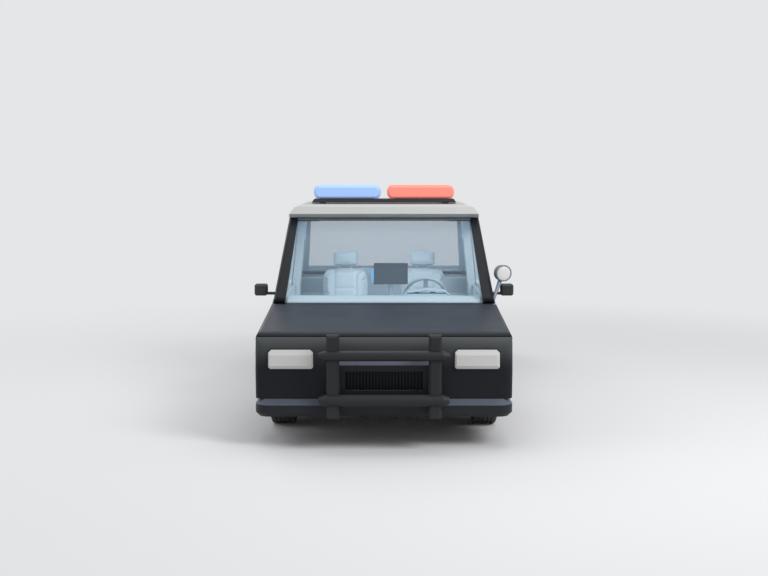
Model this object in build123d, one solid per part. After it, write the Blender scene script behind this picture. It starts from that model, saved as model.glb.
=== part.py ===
from build123d import *
from math import cos, hypot, radians, sin
import os

os.makedirs("parts", exist_ok=True)

# Millimetres. +X is the car's left side, -Y its nose, +Z up, and the tyres stand on z = 0.

# Overall places
half_width = 972
nose_y = -2400
tail_y = 2560
body_bottom_z = 240
front_axle_y = -1470
rear_axle_y = 1450

# Wheels
tyre_radius = 345
tyre_width = 214
track_half = 824
tyre_shoulder = 25
tyre_sides = 60
rim_radius = 216
rim_wall = 14
rim_width = 196
wheel_holes = 10
wheel_hole_circle = 178
wheel_hole_radius = 16
stub_radius = 22
stub_end_x = 868
running_gap = 0.05
arch_radius = 400
well_radius = 432
front_well_x = 515
rear_well_x = 665
well_outer_x = 933
well_wall = 13

# Steering
steer_axis_x = 780
king_pin_radius = 14
upper_arm_z = 470
lower_arm_z = 220
arm_thickness = 24

wheel_centre = (380, -330, 930)
wheel_ring_radius = 185
wheel_grip_radius = 16
column_tilt = radians(25)
column_shaft_radius = 16

# Lower body seen from the side: the line of hood, belt and deck, as (y, z)
cowl = (-1150, 951)
belt_front = (-1020, 975)
deck_front = (1750, 1000)
deck_rear_z = 982
hood_front_z = 862
top_line = [(nose_y, hood_front_z), cowl, belt_front, deck_front, (tail_y, deck_rear_z)]
nose_round = 104
tail_round = 70
fender_round, door_round = 36, 22
crease = 0.15
corner_round = 60

# Lower body seen from the front: the half section, as (half width, z)
flank = [(937, body_bottom_z), (967, 330), (half_width, 560), (964, 900), (960, 1100)]

# Glasshouse: the screen and the rear window run between these points, as (y, z)
screen_low, screen_high = (-1150, 951), (-208, 1645)
rear_glass_high, rear_glass_low = (1235, 1645), (1750, 1000)
glasshouse_low_z = 940
glasshouse_high_z = 1645
side_low, side_high = (948, 953), (870, 1677)
pillar_round = 32

# Lifting and towing points
jack_pad_y = (-900, 900)
tow_eye = (-550, 2562, 230)
tow_eye_radius = 16

# Floors
floor_z = 262
rear_floor_z = 500
floor_step_y = 995
floor_thickness = 20
tunnel_half_width, tunnel_top_half_width = 150, 105
tunnel_top_z = 400
tub_centre = (-230, 2150)
tub_radius = 335
tub_bottom_z = 300
tub_wall = 12
bulkhead_y = 1440
shelf_z = 950

# Running gear and engine
engine_x, engine_y, engine_z = (-300, 300), (-2050, -1180), (330, 800)
rail_x, rail_z = (430, 502), (262, 330)
spring_x = 600
exhaust_radius = 27
exhaust_route = [(60, -1000, 205), (60, 300, 205), (300, 700, 205), (300, 1600, 205), (300, 1900, 310)]
silencer_x, silencer_y, silencer_z = (170, 430), (1890, 2390), (240, 380)

# Walls and gaps
door_wall = 95
skin_depth = 40
shell_step = 8
door_lean = 8
frame_wall = 60
fender_wall = 40
lid_wall = 25
shut_gap = 6
glass_thickness = 6
glass_inset = 20

# Doors, seen from the side
door_bottom_z = 300
door_top_z = 1600
front_door_y = -1020
pillar_y = 190
rear_door_low_y = 960
pillar_width = 80
frame_width = 48
window_low_z = 1012
window_high_z = 1558

# Hood and boot lid
hood_rear_y = -1190
hood_front_y = -2366
hood_skirt = 50
boot_front_y = 1810
boot_half_width = 735
boot_low_z = 640

# Bumpers
bumper_z = (236, 369)
bumper_reach = 50
rear_bumper_z = (248, 429)
rear_bumper_reach = 40
bumper_corner = 110
bumper_bevel = 42
bumper_under_bevel = 28
bumper_wall = 70

# Lamps and grille in the nose
lamp_x = (532, 868)
lamp_z = (598, 742)
lamp_depth = 40
lamp_reach = 25
grille_half_width = 337
grille_z = (400, 656)
grille_reach = 45
grille_mouth_x = 290
grille_mouth_z = (425, 583)
grille_slats = 23

# Roof and light bar
roof_front_y = -290
roof_rear_y = 1290
roof_top_z = 1757
bar_front_y = 200
bar_depth = 300
bar_bottom_z = 1768
lens_bottom_z = 1803
lens_top_z = 1936
lens_inner_x = 29
lens_outer_x = 670
lens_round = 58
lens_bevel = 24

# Spotlight on the left screen pillar, and the terminal on its post
spot_centre = (1025, -950, 1194)
spot_radius = 69
spot_turn = 17
terminal_x = (-92, 214)
terminal_front_y = -545
terminal_z = (1057, 1248)
terminal_thickness = 28
post_place = (60, -480)

# Push bumper
push_front_y = -2600
push_y = (-2572, -2510)
push_x = (331, 426)
push_z = (246, 872)
push_bevel = 17
push_tubes = [(718, 38), (385, 44)]
push_tube_half = 485
push_tube_taper = 45

# Door mirrors
mirror_x = (1024, 1137)
mirror_y = (-820, -740)
mirror_z = (982, 1084)
mirror_arm_z = 1001


# A reach past every surface, for the regions that pieces are cut from
beyond = 3000


def block(x, y, z):
    size = Box(x[1] - x[0], y[1] - y[0], z[1] - z[0])
    return Pos((x[0] + x[1]) / 2, (y[0] + y[1]) / 2, (z[0] + z[1]) / 2) * size


def outline(points, radii={}):
    """A face in its own plane, with the corners named in radii rounded."""
    face = make_face(Polyline(*points, close=True))
    for index, radius in radii.items():
        corner = face.vertices().sort_by_distance(Vector(*points[index]))[0]
        face = fillet(corner, radius)
    return face


def along_x(face, x0, x1):
    return extrude(Plane.YZ.offset(x0) * face, x1 - x0)


def along_y(face, y0, y1):
    front = Plane(origin=(0, y0, 0), x_dir=(1, 0, 0), z_dir=(0, -1, 0))
    return extrude(front * face, y1 - y0, dir=(0, 1, 0))


def along_z(face, z0, z1):
    return extrude(Plane.XY.offset(z0) * face, z1 - z0)


def bar(start, end, radius, end_radius=None):
    """A round bar, tapered where it is given an end radius."""
    start, end = Vector(*start), Vector(*end)
    run = end - start
    plane = Plane(origin=start, z_dir=run)
    if end_radius is None:
        return extrude(plane * Circle(radius), run.length)
    return loft([plane * Circle(radius), plane.offset(run.length) * Circle(end_radius)])


def both(solid):
    return solid + mirror(solid, about=Plane.YZ)


def line_y(low, high, z):
    """Where the line through two (y, z) points stands at a height."""
    return low[0] + (high[0] - low[0]) * (z - low[1]) / (high[1] - low[1])


def body_volume(side_inset, top_inset):
    """The lower body, nose to tail, with its walls moved in by the insets."""
    nose, tail = nose_y + side_inset, tail_y - side_inset
    low = body_bottom_z if side_inset == 0 else body_bottom_z - 40
    top = [(y, z - top_inset) for y, z in top_line]
    top[0], top[-1] = (nose, top[0][1]), (tail, top[-1][1])
    rounds = {1: max(nose_round - side_inset, 12), len(top): max(tail_round - side_inset, 12)}
    side = outline([(nose, low)] + top + [(tail, low)], rounds)
    half = [(x - side_inset, z) for x, z in flank]
    half[0] = (half[0][0], low)
    section = outline(half + [(-x, z) for x, z in reversed(half)])
    wide = half_width - side_inset
    plan = outline(
        [(-wide, nose), (wide, nose), (wide, tail), (-wide, tail)],
        {k: max(corner_round - side_inset, 10) for k in range(4)},
    )
    reach = half_width + 50
    solid = along_x(side, -reach, reach) & along_y(section, nose_y - 50, tail_y + 50)
    return solid & along_z(plan, body_bottom_z - 90, 1150)


def shoulder_cut(start, end, r):
    """What rounding takes off the body's top side edge, between two points of the top line."""
    spare = 30
    side_x = half_width - 8
    z = start[1] + crease
    edge = [
        Line((side_x - r, z + spare), (side_x + spare, z + spare)),
        Line((side_x + spare, z + spare), (side_x + spare, z - r)),
        Line((side_x + spare, z - r), (side_x, z - r)),
        CenterArc((side_x - r, z - r), r, 0, 90),
        Line((side_x - r, z), (side_x - r, z + spare)),
    ]
    face = make_face(Curve() + edge)
    front = Plane(origin=(0, start[0], 0), x_dir=(1, 0, 0), z_dir=(0, -1, 0))
    run = Vector(0, end[0] - start[0], end[1] - start[1])
    return extrude(front * face, run.length, dir=run)


def glasshouse(inset):
    """The glasshouse, with its walls moved in by the inset."""
    low, high = 600, 1900
    side = outline(
        [
            (line_y(screen_low, screen_high, low), low),
            (line_y(rear_glass_low, rear_glass_high, low), low),
            (line_y(rear_glass_low, rear_glass_high, high), high),
            (line_y(screen_low, screen_high, high), high),
        ]
    )
    wide_low, wide_high = line_y(side_low, side_high, low), line_y(side_low, side_high, high)
    front = outline([(-wide_low, low), (wide_low, low), (wide_high, high), (-wide_high, high)])
    if inset:
        side = offset(side, -inset, kind=Kind.INTERSECTION)
        front = offset(front, -inset, kind=Kind.INTERSECTION)
    solid = along_x(side, -beyond, beyond) & along_y(front, -beyond, beyond)
    return solid & block((-beyond, beyond), (-beyond, beyond), (glasshouse_low_z, glasshouse_high_z))


def hood_region(gap):
    """The space of the hood, grown by the gap on the sides where it meets other panels."""
    def cut_z(y):
        return line_y((hood_front_z, nose_y), (cowl[1], cowl[0]), y) - hood_skirt - gap
    front, rear = hood_front_y - gap * 4 / 3, hood_rear_y + gap
    side = outline([(front, cut_z(front)), (rear, cut_z(rear)), (rear, beyond), (front, beyond)])
    return along_x(side, -beyond, beyond)


def boot_region(gap):
    """The space of the boot lid, grown by the gap."""
    wide = boot_half_width + gap
    return block((-wide, wide), (boot_front_y - gap, beyond), (boot_low_z - gap, beyond))


def screen_edge(shift, z):
    """A line beside the screen pillar: the screen's own line moved back, squared to it."""
    run = (screen_high[0] - screen_low[0], screen_high[1] - screen_low[1])
    return line_y(screen_low, screen_high, z) + shift * hypot(*run) / run[1]


def front_door_outline(gap):
    slope = pillar_width - gap
    edge = [(z, screen_edge(slope, z)) for z in (screen_low[1], screen_high[1])]
    low_z = line_y(*edge, front_door_y - gap)
    return outline(
        [
            (front_door_y - gap, door_bottom_z - gap),
            (pillar_y + gap, door_bottom_z - gap),
            (pillar_y + gap, window_low_z),
            (pillar_y - door_lean + gap, door_top_z + gap),
            (screen_edge(slope, door_top_z + gap), door_top_z + gap),
            (front_door_y - gap, low_z),
        ]
    )


def rear_door_outline(gap):
    front = pillar_y + shut_gap - gap
    return outline(
        [
            (front, door_bottom_z - gap),
            (rear_door_low_y + gap, door_bottom_z - gap),
            (1010 + gap, 520),
            (1120 + gap, 780),
            (1190 + gap, 985),
            (1090 + 2 * gap, door_top_z + gap),
            (front, door_top_z + gap),
        ]
    )


def front_window_outline():
    slope = pillar_width + frame_width
    rear = pillar_y - frame_width
    return outline(
        [
            (screen_edge(slope, window_low_z), window_low_z),
            (rear, window_low_z),
            (rear, window_high_z),
            (screen_edge(slope, window_high_z), window_high_z),
        ],
        {0: 20, 1: 30, 2: 30, 3: 20},
    )


def rear_window_outline():
    front = pillar_y + shut_gap + frame_width
    return outline(
        [(front, window_low_z), (1130, window_low_z), (1042, window_high_z), (front, window_high_z)],
        {0: 30, 1: 30, 2: 30, 3: 30},
    )


def quarter_window_outline():
    return outline(
        [(1240, window_low_z), (1590, window_low_z), (1330, 1370), (1182, 1370)],
        {0: 20, 1: 20, 2: 20, 3: 20},
    )


def screen_outline():
    """The screen's opening, seen from the front."""
    return outline([(-846, 952), (846, 952), (795, 1640), (-795, 1640)])


def rear_screen_outline():
    return outline([(-820, 1012), (820, 1012), (760, 1630), (-760, 1630)])


def lip_and_well(axle_y, inner_x):
    """What a wheel arch takes out of one side: the lip's opening and the well behind it."""
    lip = bar((inner_x, axle_y, tyre_radius), (1050, axle_y, tyre_radius), arch_radius)
    well = bar((inner_x, axle_y, tyre_radius), (well_outer_x, axle_y, tyre_radius), well_radius)
    return lip + well


def lined_space(axle_y, inner_x):
    """The wheel's space with its liner, which the rest of the body keeps out of."""
    start, end = (inner_x - well_wall, axle_y, tyre_radius), (well_outer_x, axle_y, tyre_radius)
    return bar(start, end, well_radius + well_wall)


def well_liner(axle_y, inner_x, low_z):
    """The arched liner over a wheel, with the wall that closes its inner side."""
    liner = lined_space(axle_y, inner_x) - lip_and_well(axle_y, inner_x)
    return liner & block((0, beyond), (-beyond, beyond), (low_z, beyond))


left_half = block((0, beyond), (-beyond, beyond), (0, beyond))
outer_body = body_volume(0, 0) & left_half
shoulder_rounds = (fender_round, fender_round, door_round, door_round)
for low_end, high_end, shoulder in zip(top_line[:-1], top_line[1:], shoulder_rounds):
    outer_body = outer_body - shoulder_cut(low_end, high_end, shoulder)
outer_body = both(outer_body)
arches = both(lip_and_well(front_axle_y, front_well_x) + lip_and_well(rear_axle_y, rear_well_x))
wheel_spaces = both(lined_space(front_axle_y, front_well_x) + lined_space(rear_axle_y, rear_well_x))
house = glasshouse(0)
screen_sides = [edge for edge in house.edges() if edge.length > 900 and edge.center().Y < -400]
house = fillet(screen_sides, pillar_round)
house_inside = glasshouse(frame_wall)


def make_hood():
    shell = outer_body - body_volume(lid_wall, lid_wall)
    return shell & hood_region(0)


def make_boot_lid():
    shell = outer_body - body_volume(lid_wall, lid_wall)
    return shell & boot_region(0)


def make_front_fenders():
    wall = outer_body - body_volume(fender_wall, -200)
    rear_edge = front_door_y - shut_gap
    span = block((-beyond, beyond), (nose_y + fender_wall, rear_edge), (bumper_z[1], beyond))
    rear_low = block((-beyond, beyond), (front_axle_y, rear_edge), (body_bottom_z, bumper_z[1]))
    skin = (wall & (span + rear_low)) - hood_region(shut_gap) - arches
    cowl_gap = block((-beyond, beyond), (hood_rear_y + shut_gap, beyond), (cowl[1] - 21, beyond))
    skin = skin - cowl_gap
    liner = well_liner(front_axle_y, front_well_x, floor_z) - hood_region(shut_gap)
    return skin + both(liner & body_volume(0, 0))


def make_nose_panel():
    shell = outer_body - body_volume(fender_wall, fender_wall)
    face = shell & block((-beyond, beyond), (nose_y, nose_y + fender_wall), (bumper_z[1], beyond))
    face = face - hood_region(shut_gap)
    pocket = along_y(lamp_outline(), nose_y - 10, nose_y + 90)
    mouth = block((-300, 300), (nose_y - 10, nose_y + 90), (400, 600))
    return face - both(pocket) - mouth


def wrapped_bumper(open_y, reach_y, levels):
    """A bumper that wraps round one end of the body, from the line open_y out to reach_y."""
    outwards = 1 if reach_y > open_y else -1

    def plan(inset):
        wide, reach = half_width - inset, reach_y - outwards * inset
        return outline(
            [(-wide, open_y), (-wide, reach), (wide, reach), (wide, open_y)],
            {1: bumper_corner - inset, 2: bumper_corner - inset},
        )
    low_z, high_z = levels
    solid = along_z(plan(0), low_z, high_z)
    for level, bevel in ((-1, bumper_bevel), (0, bumper_under_bevel)):
        rim = solid.faces().sort_by(Axis.Z)[level].edges()
        solid = chamfer(rim.filter_by(lambda edge: abs(edge.center().Y - open_y) > 1), bevel)
    return solid - along_z(plan(bumper_wall), low_z - 10, high_z + 10)


def make_front_bumper():
    return wrapped_bumper(front_axle_y - well_radius - well_wall - 3, nose_y - bumper_reach, bumper_z)


def make_rear_bumper():
    reach = tail_y + rear_bumper_reach
    solid = wrapped_bumper(rear_axle_y + well_radius + well_wall + 3, reach, rear_bumper_z)
    x, y, z = tow_eye
    eye = outline([(y - 27, 204), (y + 27, 204), (y + 27, 300), (y - 27, 300)], {0: 24, 1: 24})
    solid = solid + along_x(eye, x - 12, x + 12)
    return solid - bar((x - 20, y, z), (x + 20, y, z), tow_eye_radius)


def make_grille():
    """A box that stands out of the nose, bevelled above and below, with upright slats in its mouth."""
    low, high = grille_z
    front = nose_y - grille_reach
    box = [(nose_y, low), (front + 25, low), (front, low + 40), (front, high - 26), (front + 26, high)]
    side = outline(box + [(nose_y, high)])
    frame = along_x(side, -grille_half_width, grille_half_width)
    mouth_low, mouth_high = grille_mouth_z
    mouth_x = (-grille_mouth_x, grille_mouth_x)
    frame = frame - block(mouth_x, (front - 10, nose_y + 10), (mouth_low + 15, mouth_high))
    pitch = 2 * grille_mouth_x / (grille_slats + 1)
    slats = [
        block((x - 3, x + 3), (front + 14, nose_y + 14), (mouth_low, mouth_high + 5))
        for x in (-grille_mouth_x + pitch * k for k in range(1, grille_slats + 1))
    ]
    return frame + slats + block((-300, 300), (nose_y + 14, nose_y + 24), (low, high - 56))


def lamp_outline():
    """The left headlamp seen from the front, with its corners cut off."""
    (x0, x1), (z0, z1) = lamp_x, lamp_z
    low, high = 14, 22
    return outline(
        [
            (x0 + low, z0),
            (x1 - low, z0),
            (x1, z0 + low),
            (x1, z1 - high),
            (x1 - high, z1),
            (x0 + high, z1),
            (x0, z1 - high),
            (x0, z0 + low),
        ]
    )


def make_headlamps():
    (x0, x1), (z0, z1) = lamp_x, lamp_z
    back, front = nose_y + lamp_depth, nose_y - lamp_reach
    side = outline(
        [(back, z0), (back, z1), (front + 20, z1), (front, z1 - 40), (front, z0 + 24), (front + 15, z0)]
    )
    plan = outline(
        [(x0, back), (x0, front + 12), (x0 + 12, front), (x1 - 12, front), (x1, front + 12), (x1, back)]
    )
    return both(along_x(side, x0, x1) & along_z(plan, z0, z1) & along_y(lamp_outline(), front, back))


def make_push_bumper():
    """Two bevelled uprights on arms, and two round tubes with tapered ends set into their fronts."""
    (x0, x1), (z0, z1) = push_x, push_z
    rear = push_y[1]
    upright = block(push_x, push_y, push_z)
    edges = upright.faces().sort_by(Axis.Y)[0].edges()
    upright = chamfer(edges, push_bevel)
    arm_x = (x0 + 20, x1 - 20)
    low_arm = block(arm_x, (rear, nose_y - bumper_reach), (bumper_z[0] + bumper_under_bevel + 4, 324))
    high_arm = block(arm_x, (rear, nose_y), (440, 500))
    frame = both(upright + low_arm + high_arm)
    for z, radius in push_tubes:
        y, straight = push_front_y + radius, push_tube_half - push_tube_taper
        end = bar((straight, y, z), (push_tube_half, y, z), radius, radius * 0.55)
        frame = frame + bar((-straight, y, z), (straight, y, z), radius) + both(end)
    return frame


def make_cabin_frame():
    front_hole, rear_hole = front_door_outline(shut_gap), rear_door_outline(shut_gap)
    door_holes = along_x(front_hole, 0, beyond) + along_x(rear_hole, 0, beyond)
    sill_end = rear_axle_y - well_radius - well_wall - 3
    sill = (outer_body - body_volume(150, -200)) & block(
        (0, beyond), (front_door_y - shut_gap, sill_end), (body_bottom_z, door_bottom_z - shut_gap)
    )
    hinge_post = (body_volume(fender_wall, 20) - body_volume(110, -200)) & block(
        (0, beyond), (front_door_y - 90, front_door_y - shut_gap), (body_bottom_z, cowl[1])
    )
    hinge_post = hinge_post - wheel_spaces
    upper = house - house_inside
    screen_post = upper & along_x(
        outline(
            [
                (line_y(screen_low, screen_high, 900), 900),
                (screen_edge(pillar_width - shut_gap, 900), 900),
                (screen_edge(pillar_width - shut_gap, glasshouse_high_z), glasshouse_high_z),
                (line_y(screen_low, screen_high, glasshouse_high_z), glasshouse_high_z),
            ]
        ),
        0,
        beyond,
    )
    screen_post = screen_post - along_y(screen_outline(), -1500, 0) - block((0, 846), (-1500, 0), (900, 953))
    rail_low_z = door_top_z + shut_gap
    rail = (house - glasshouse(100)) & block((600, beyond), (-150, 1100), (rail_low_z, glasshouse_high_z))
    post_low = (body_volume(door_wall + shut_gap, -60) - body_volume(150, -200)) & block(
        (0, beyond), (pillar_y - 40, pillar_y + 46), (280, 1000)
    )
    post_high = (glasshouse(frame_wall + shut_gap) - glasshouse(140)) & block(
        (600, beyond), (pillar_y - 40, pillar_y + 46), (1000, glasshouse_high_z)
    )
    side = sill + hinge_post + (screen_post - door_holes) + rail + post_low + post_high
    for y in jack_pad_y:
        side = side + block((820, 880), (y - 45, y + 45), (body_bottom_z - 12, body_bottom_z))
    return both((side - wheel_spaces) & left_half)


def make_firewall():
    plate = block((-beyond, beyond), (-1110, -1090), (floor_z, 940)) & body_volume(110, -200)
    top = (outer_body - body_volume(30, 30)) & block((-840, 840), (hood_rear_y + shut_gap, -1090), (900, 952))
    return plate + top - wheel_spaces


def make_floor_pan():
    cabin = (-1110, floor_step_y)
    front = block((-beyond, beyond), cabin, (body_bottom_z, floor_z)) & body_volume(150, -200)
    riser = block((-beyond, beyond), (floor_step_y - 12, floor_step_y), (body_bottom_z, rear_floor_z))
    riser = riser & body_volume(150, -200)
    level = (rear_floor_z - floor_thickness, rear_floor_z)
    rear = block((-beyond, beyond), (floor_step_y, floor_step_y + 20), level) & body_volume(150, -200)
    boot = block((-beyond, beyond), (floor_step_y + 20, tail_y), level)
    rear = rear + (boot & body_volume(frame_wall, -200))
    low, top, high_z = tunnel_half_width, tunnel_top_half_width, tunnel_top_z
    outer = outline([(-low, floor_z - 12), (low, floor_z - 12), (top, high_z), (-top, high_z)])
    half = [(low - 20, floor_z - 32), (low - 20, floor_z - 12), (top - 15, high_z - 20)]
    inner = outline(half + [(-x, z) for x, z in reversed(half)])
    tunnel = along_y(outer, -1090, floor_step_y - 12) - along_y(inner, -beyond, floor_step_y - 12)
    hollow = along_y(inner, cabin[0], floor_step_y - 12)
    tub_depth = rear_floor_z - tub_bottom_z
    tub_place = Pos(*tub_centre, (tub_bottom_z + rear_floor_z) / 2)
    tub = tub_place * Cylinder(tub_radius, tub_depth)
    tub_inside = tub_place * Pos(0, 0, tub_wall) * Cylinder(tub_radius - tub_wall, tub_depth)
    pan = (front + riser + rear - hollow) + tunnel
    return (pan + tub - tub_inside) - wheel_spaces


def rear_shell():
    """The rear quarters, the deck and the rear of the glasshouse, before their openings."""
    wall = outer_body - body_volume(frame_wall, -200)
    all_x = (-beyond, beyond)
    quarter = wall & block(all_x, (900, tail_y), (body_bottom_z, beyond))
    deck = (outer_body - body_volume(lid_wall, lid_wall)) & block(all_x, (1720, tail_y), (800, beyond))
    upper = (house - house_inside) & block(all_x, (1000, beyond), (glasshouse_low_z, glasshouse_high_z))
    return quarter + deck + upper


def make_rear_body():
    shell = rear_shell() - along_x(rear_door_outline(shut_gap), -beyond, beyond)
    shell = shell - along_x(quarter_window_outline(), -beyond, beyond)
    shell = shell - along_y(rear_screen_outline(), 1200, 1900)
    shell = shell - boot_region(shut_gap) - block((-beyond, beyond), (1000, 1100), (1500, 1700))
    well_reach = well_radius + well_wall + 3
    shell = shell - block((-beyond, beyond), (900, rear_axle_y - well_reach), (0, door_bottom_z - shut_gap))
    tail_low = block((-beyond, beyond), (rear_axle_y + well_reach, beyond), (0, rear_bumper_z[1]))
    return shell - tail_low - wheel_spaces - arches - make_tail_lamps()


def make_parcel_shelf():
    """The shelf under the rear window, and the bulkhead behind the rear seat."""
    shelf = block((-beyond, beyond), (bulkhead_y, 1800), (shelf_z - 20, shelf_z))
    bulkhead = block((-beyond, beyond), (bulkhead_y, bulkhead_y + 15), (rear_floor_z, shelf_z - 10))
    return ((shelf + bulkhead) & body_volume(frame_wall, -200)) - wheel_spaces - rear_shell()


def make_rear_wheelhouses():
    axle_slot = block((640, 680), (rear_axle_y - 60, rear_axle_y + 60), (200, 440))
    liner = well_liner(rear_axle_y, rear_well_x, floor_z) - axle_slot
    return both(liner & body_volume(0, 0))


def make_tail_lamps():
    inner_y = tail_y - 60
    side = outline([(inner_y, 700), (inner_y, 860), (tail_y + 6, 848), (tail_y + 14, 712), (tail_y + 6, 700)])
    return both(along_x(side, 752, 868))


def pane(face_solid):
    skin = glasshouse(glass_inset) - glasshouse(glass_inset + glass_thickness)
    return skin & face_solid


def make_windshield():
    return pane(along_y(screen_outline(), -1500, 0))


def make_rear_glass():
    rear = pane(along_y(rear_screen_outline(), 1200, 1900))
    return rear + pane(along_x(quarter_window_outline(), -beyond, beyond))


def make_roof():
    side = outline(
        [
            (-225, glasshouse_high_z),
            (roof_front_y, 1680),
            (roof_front_y + 24, roof_top_z - 12),
            (roof_front_y + 60, roof_top_z),
            (roof_rear_y - 70, roof_top_z),
            (roof_rear_y - 20, roof_top_z - 22),
            (roof_rear_y, 1680),
            (1235, glasshouse_high_z),
        ]
    )
    low_z, high_z = glasshouse_high_z, roof_top_z
    low = line_y(side_low, side_high, low_z)
    half = [(low, low_z), (868, 1679), (824, 1738), (768, high_z)]
    front = outline(half + [(-x, z) for x, z in reversed(half)])
    solid = along_x(side, -beyond, beyond) & along_y(front, -beyond, beyond)
    hollow = block((-775, 775), (-160, 1170), (1600, 1712))
    return solid - hollow


def make_door(window, door_outline):
    """A door: a skin to the full outline, and an inner shell set back from its edges."""
    span = block((0, beyond), (-1100, 1300), (280, beyond))
    skin = (outer_body - body_volume(skin_depth, -200)) & span
    skin = (skin + (house - glasshouse(skin_depth * 0.6))) & along_x(door_outline(0), 0, beyond)
    inner = (outer_body - body_volume(door_wall, -200)) & span
    inner = (inner + (house - house_inside)) & along_x(door_outline(-shell_step), 0, beyond)
    return skin + inner - along_x(window, 0, beyond)


def make_door_handle(y, z):
    """A flap handle that stands out of the door's skin, bevelled at both ends."""
    half = [(962, 100), (980, 96), (988, 78)]
    plan = outline([(x, y - run) for x, run in half] + [(x, y + run) for x, run in reversed(half)])
    return along_z(plan, z - 14, z + 14)


def make_mirror():
    """The left door mirror: a housing with round corners and bevelled rims, on a short round arm."""
    (x0, x1), (z0, z1) = mirror_x, mirror_z
    front = outline([(x0, z0), (x1, z0), (x1, z1), (x0, z1)], {corner: 20 for corner in range(4)})
    housing = along_y(front, *mirror_y)
    ends = housing.faces().sort_by(Axis.Y)
    housing = chamfer(ends[0].edges(), 16)
    housing = chamfer(housing.faces().sort_by(Axis.Y)[-1].edges(), 5)
    middle = sum(mirror_y) / 2
    arm = bar((930, middle, mirror_arm_z), (x0 + 16, middle, mirror_arm_z), 13)
    return housing + (arm - house - outer_body)


def make_spotlight():
    """A round lamp with a tapered back, on a stalk from the left screen pillar."""
    align = (Align.CENTER, Align.CENTER, Align.MIN)
    drum = Rot(90, 0, 0) * Cylinder(spot_radius, 60)
    back = Pos(0, 30, 0) * Rot(-90, 0, 0) * Cone(spot_radius, 34, 62, align=align)
    lamp = Pos(*spot_centre) * Rot(0, 0, spot_turn) * (drum + back)
    stalk = bar((936, -1060, 965), (1016, -935, 1160), 12, 20)
    return lamp + (stalk - house - outer_body)


def make_light_bar_base():
    side = outline([(692, bar_bottom_z), (668, lens_bottom_z), (-668, lens_bottom_z), (-692, bar_bottom_z)])
    base = along_y(side, bar_front_y, bar_front_y + bar_depth)
    foot = block((560, 620), (bar_front_y + 60, bar_front_y + bar_depth - 60), (roof_top_z, bar_bottom_z))
    return base + both(foot)


def make_lens():
    """The left lens, a long shell with round ends and bevelled front and rear rims."""
    x0, x1, z0, z1 = lens_inner_x, lens_outer_x, lens_bottom_z, lens_top_z
    front = outline([(x0, z0), (x1, z0), (x1, z1), (x0, z1)], {corner: lens_round for corner in range(4)})
    lens = along_y(front, bar_front_y + 12, bar_front_y + bar_depth - 12)
    for end in (0, -1):
        lens = chamfer(lens.faces().sort_by(Axis.Y)[end].edges(), lens_bevel)
    return lens


def column_point(reach):
    """A point on the steering column's axis, that far below the wheel's centre."""
    x, y, z = wheel_centre
    return (x, y - reach * cos(column_tilt), z - reach * sin(column_tilt))


def make_dashboard():
    side = outline(
        [
            (-1090, 560),
            (-700, 560),
            (-590, 700),
            (-560, 880),
            (-640, 968),
            (-930, 985),
            (-1052, 960),
            (-1090, 900),
        ],
        {3: 30, 4: 30},
    )
    panel = along_x(side, -830, 830)
    reach = column_point(320)
    column = bar(reach, column_point(50), 42, 34)
    bore = bar(column_point(80), column_point(40), column_shaft_radius + running_gap)
    return (panel - wheel_spaces) + column - bore


def make_steering_wheel():
    tilt = Plane(origin=wheel_centre, x_dir=(1, 0, 0), z_dir=(0, cos(column_tilt), sin(column_tilt)))
    grip = Plane.XZ * Pos(wheel_ring_radius, 0) * RegularPolygon(wheel_grip_radius, 8, rotation=22.5)
    ring = revolve(grip, Axis.Z)
    hub = Cylinder(52, 44)
    spokes = Box(2 * wheel_ring_radius - 10, 36, 14) + Pos(0, -90, 0) * Box(40, wheel_ring_radius - 5, 14)
    shaft = Pos(0, 0, -46) * Cylinder(column_shaft_radius, 60)
    return tilt * (ring + hub + spokes + shaft)


def make_console():
    """The box over the tunnel, and the post that the terminal stands on."""
    low, high = (*post_place, 510), (*post_place, terminal_z[0])
    return block((-95, 95), (-560, 250), (tunnel_top_z, 520)) + bar(low, high, 20)


def make_terminal():
    """A terminal that stands open on its post, its screen towards the seats."""
    low, high = terminal_z
    rear = terminal_front_y + terminal_thickness
    screen = block(terminal_x, (terminal_front_y, rear), (low, high))
    return screen + block(terminal_x, (rear, rear + 217), (low, low + 30))


def seat(width, y0, cushion_depth, back_top_z):
    side = outline(
        [
            (y0, 400),
            (y0 + cushion_depth + 120, 380),
            (y0 + cushion_depth + 300, back_top_z),
            (y0 + cushion_depth + 180, back_top_z),
            (y0 + cushion_depth + 20, 570),
            (y0, 540),
        ],
        {0: 30, 2: 40, 3: 50, 4: 60, 5: 40},
    )
    return along_x(side, -width / 2, width / 2)


def make_front_seats():
    one = seat(520, -220, 500, 1120)
    head = Pos(0, 530, 1215) * Box(250, 110, 150)
    post = Pos(0, 525, 1130) * Box(120, 30, 60)
    runner = block((-180, 180), (-180, 300), (262, 392))
    return both(Pos(380, 0, 0) * (one + head + post + runner))


def make_rear_seat():
    side = outline(
        [
            (850, 430),
            (floor_step_y - 12, 430),
            (floor_step_y - 12, rear_floor_z),
            (1438, rear_floor_z),
            (1438, 1060),
            (1340, 1085),
            (1235, 660),
            (850, 615),
        ],
        {0: 30, 4: 30, 5: 40, 6: 60, 7: 40},
    )
    return along_x(side, -640, 640)


def make_engine():
    """The engine and gearbox as one plain mass, on two mounts that reach the rails."""
    mounts = both(block((engine_x[1] - 20, 470), (-1640, -1560), (engine_z[0], engine_z[0] + 32)))
    return block(engine_x, engine_y, engine_z) + mounts


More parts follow.
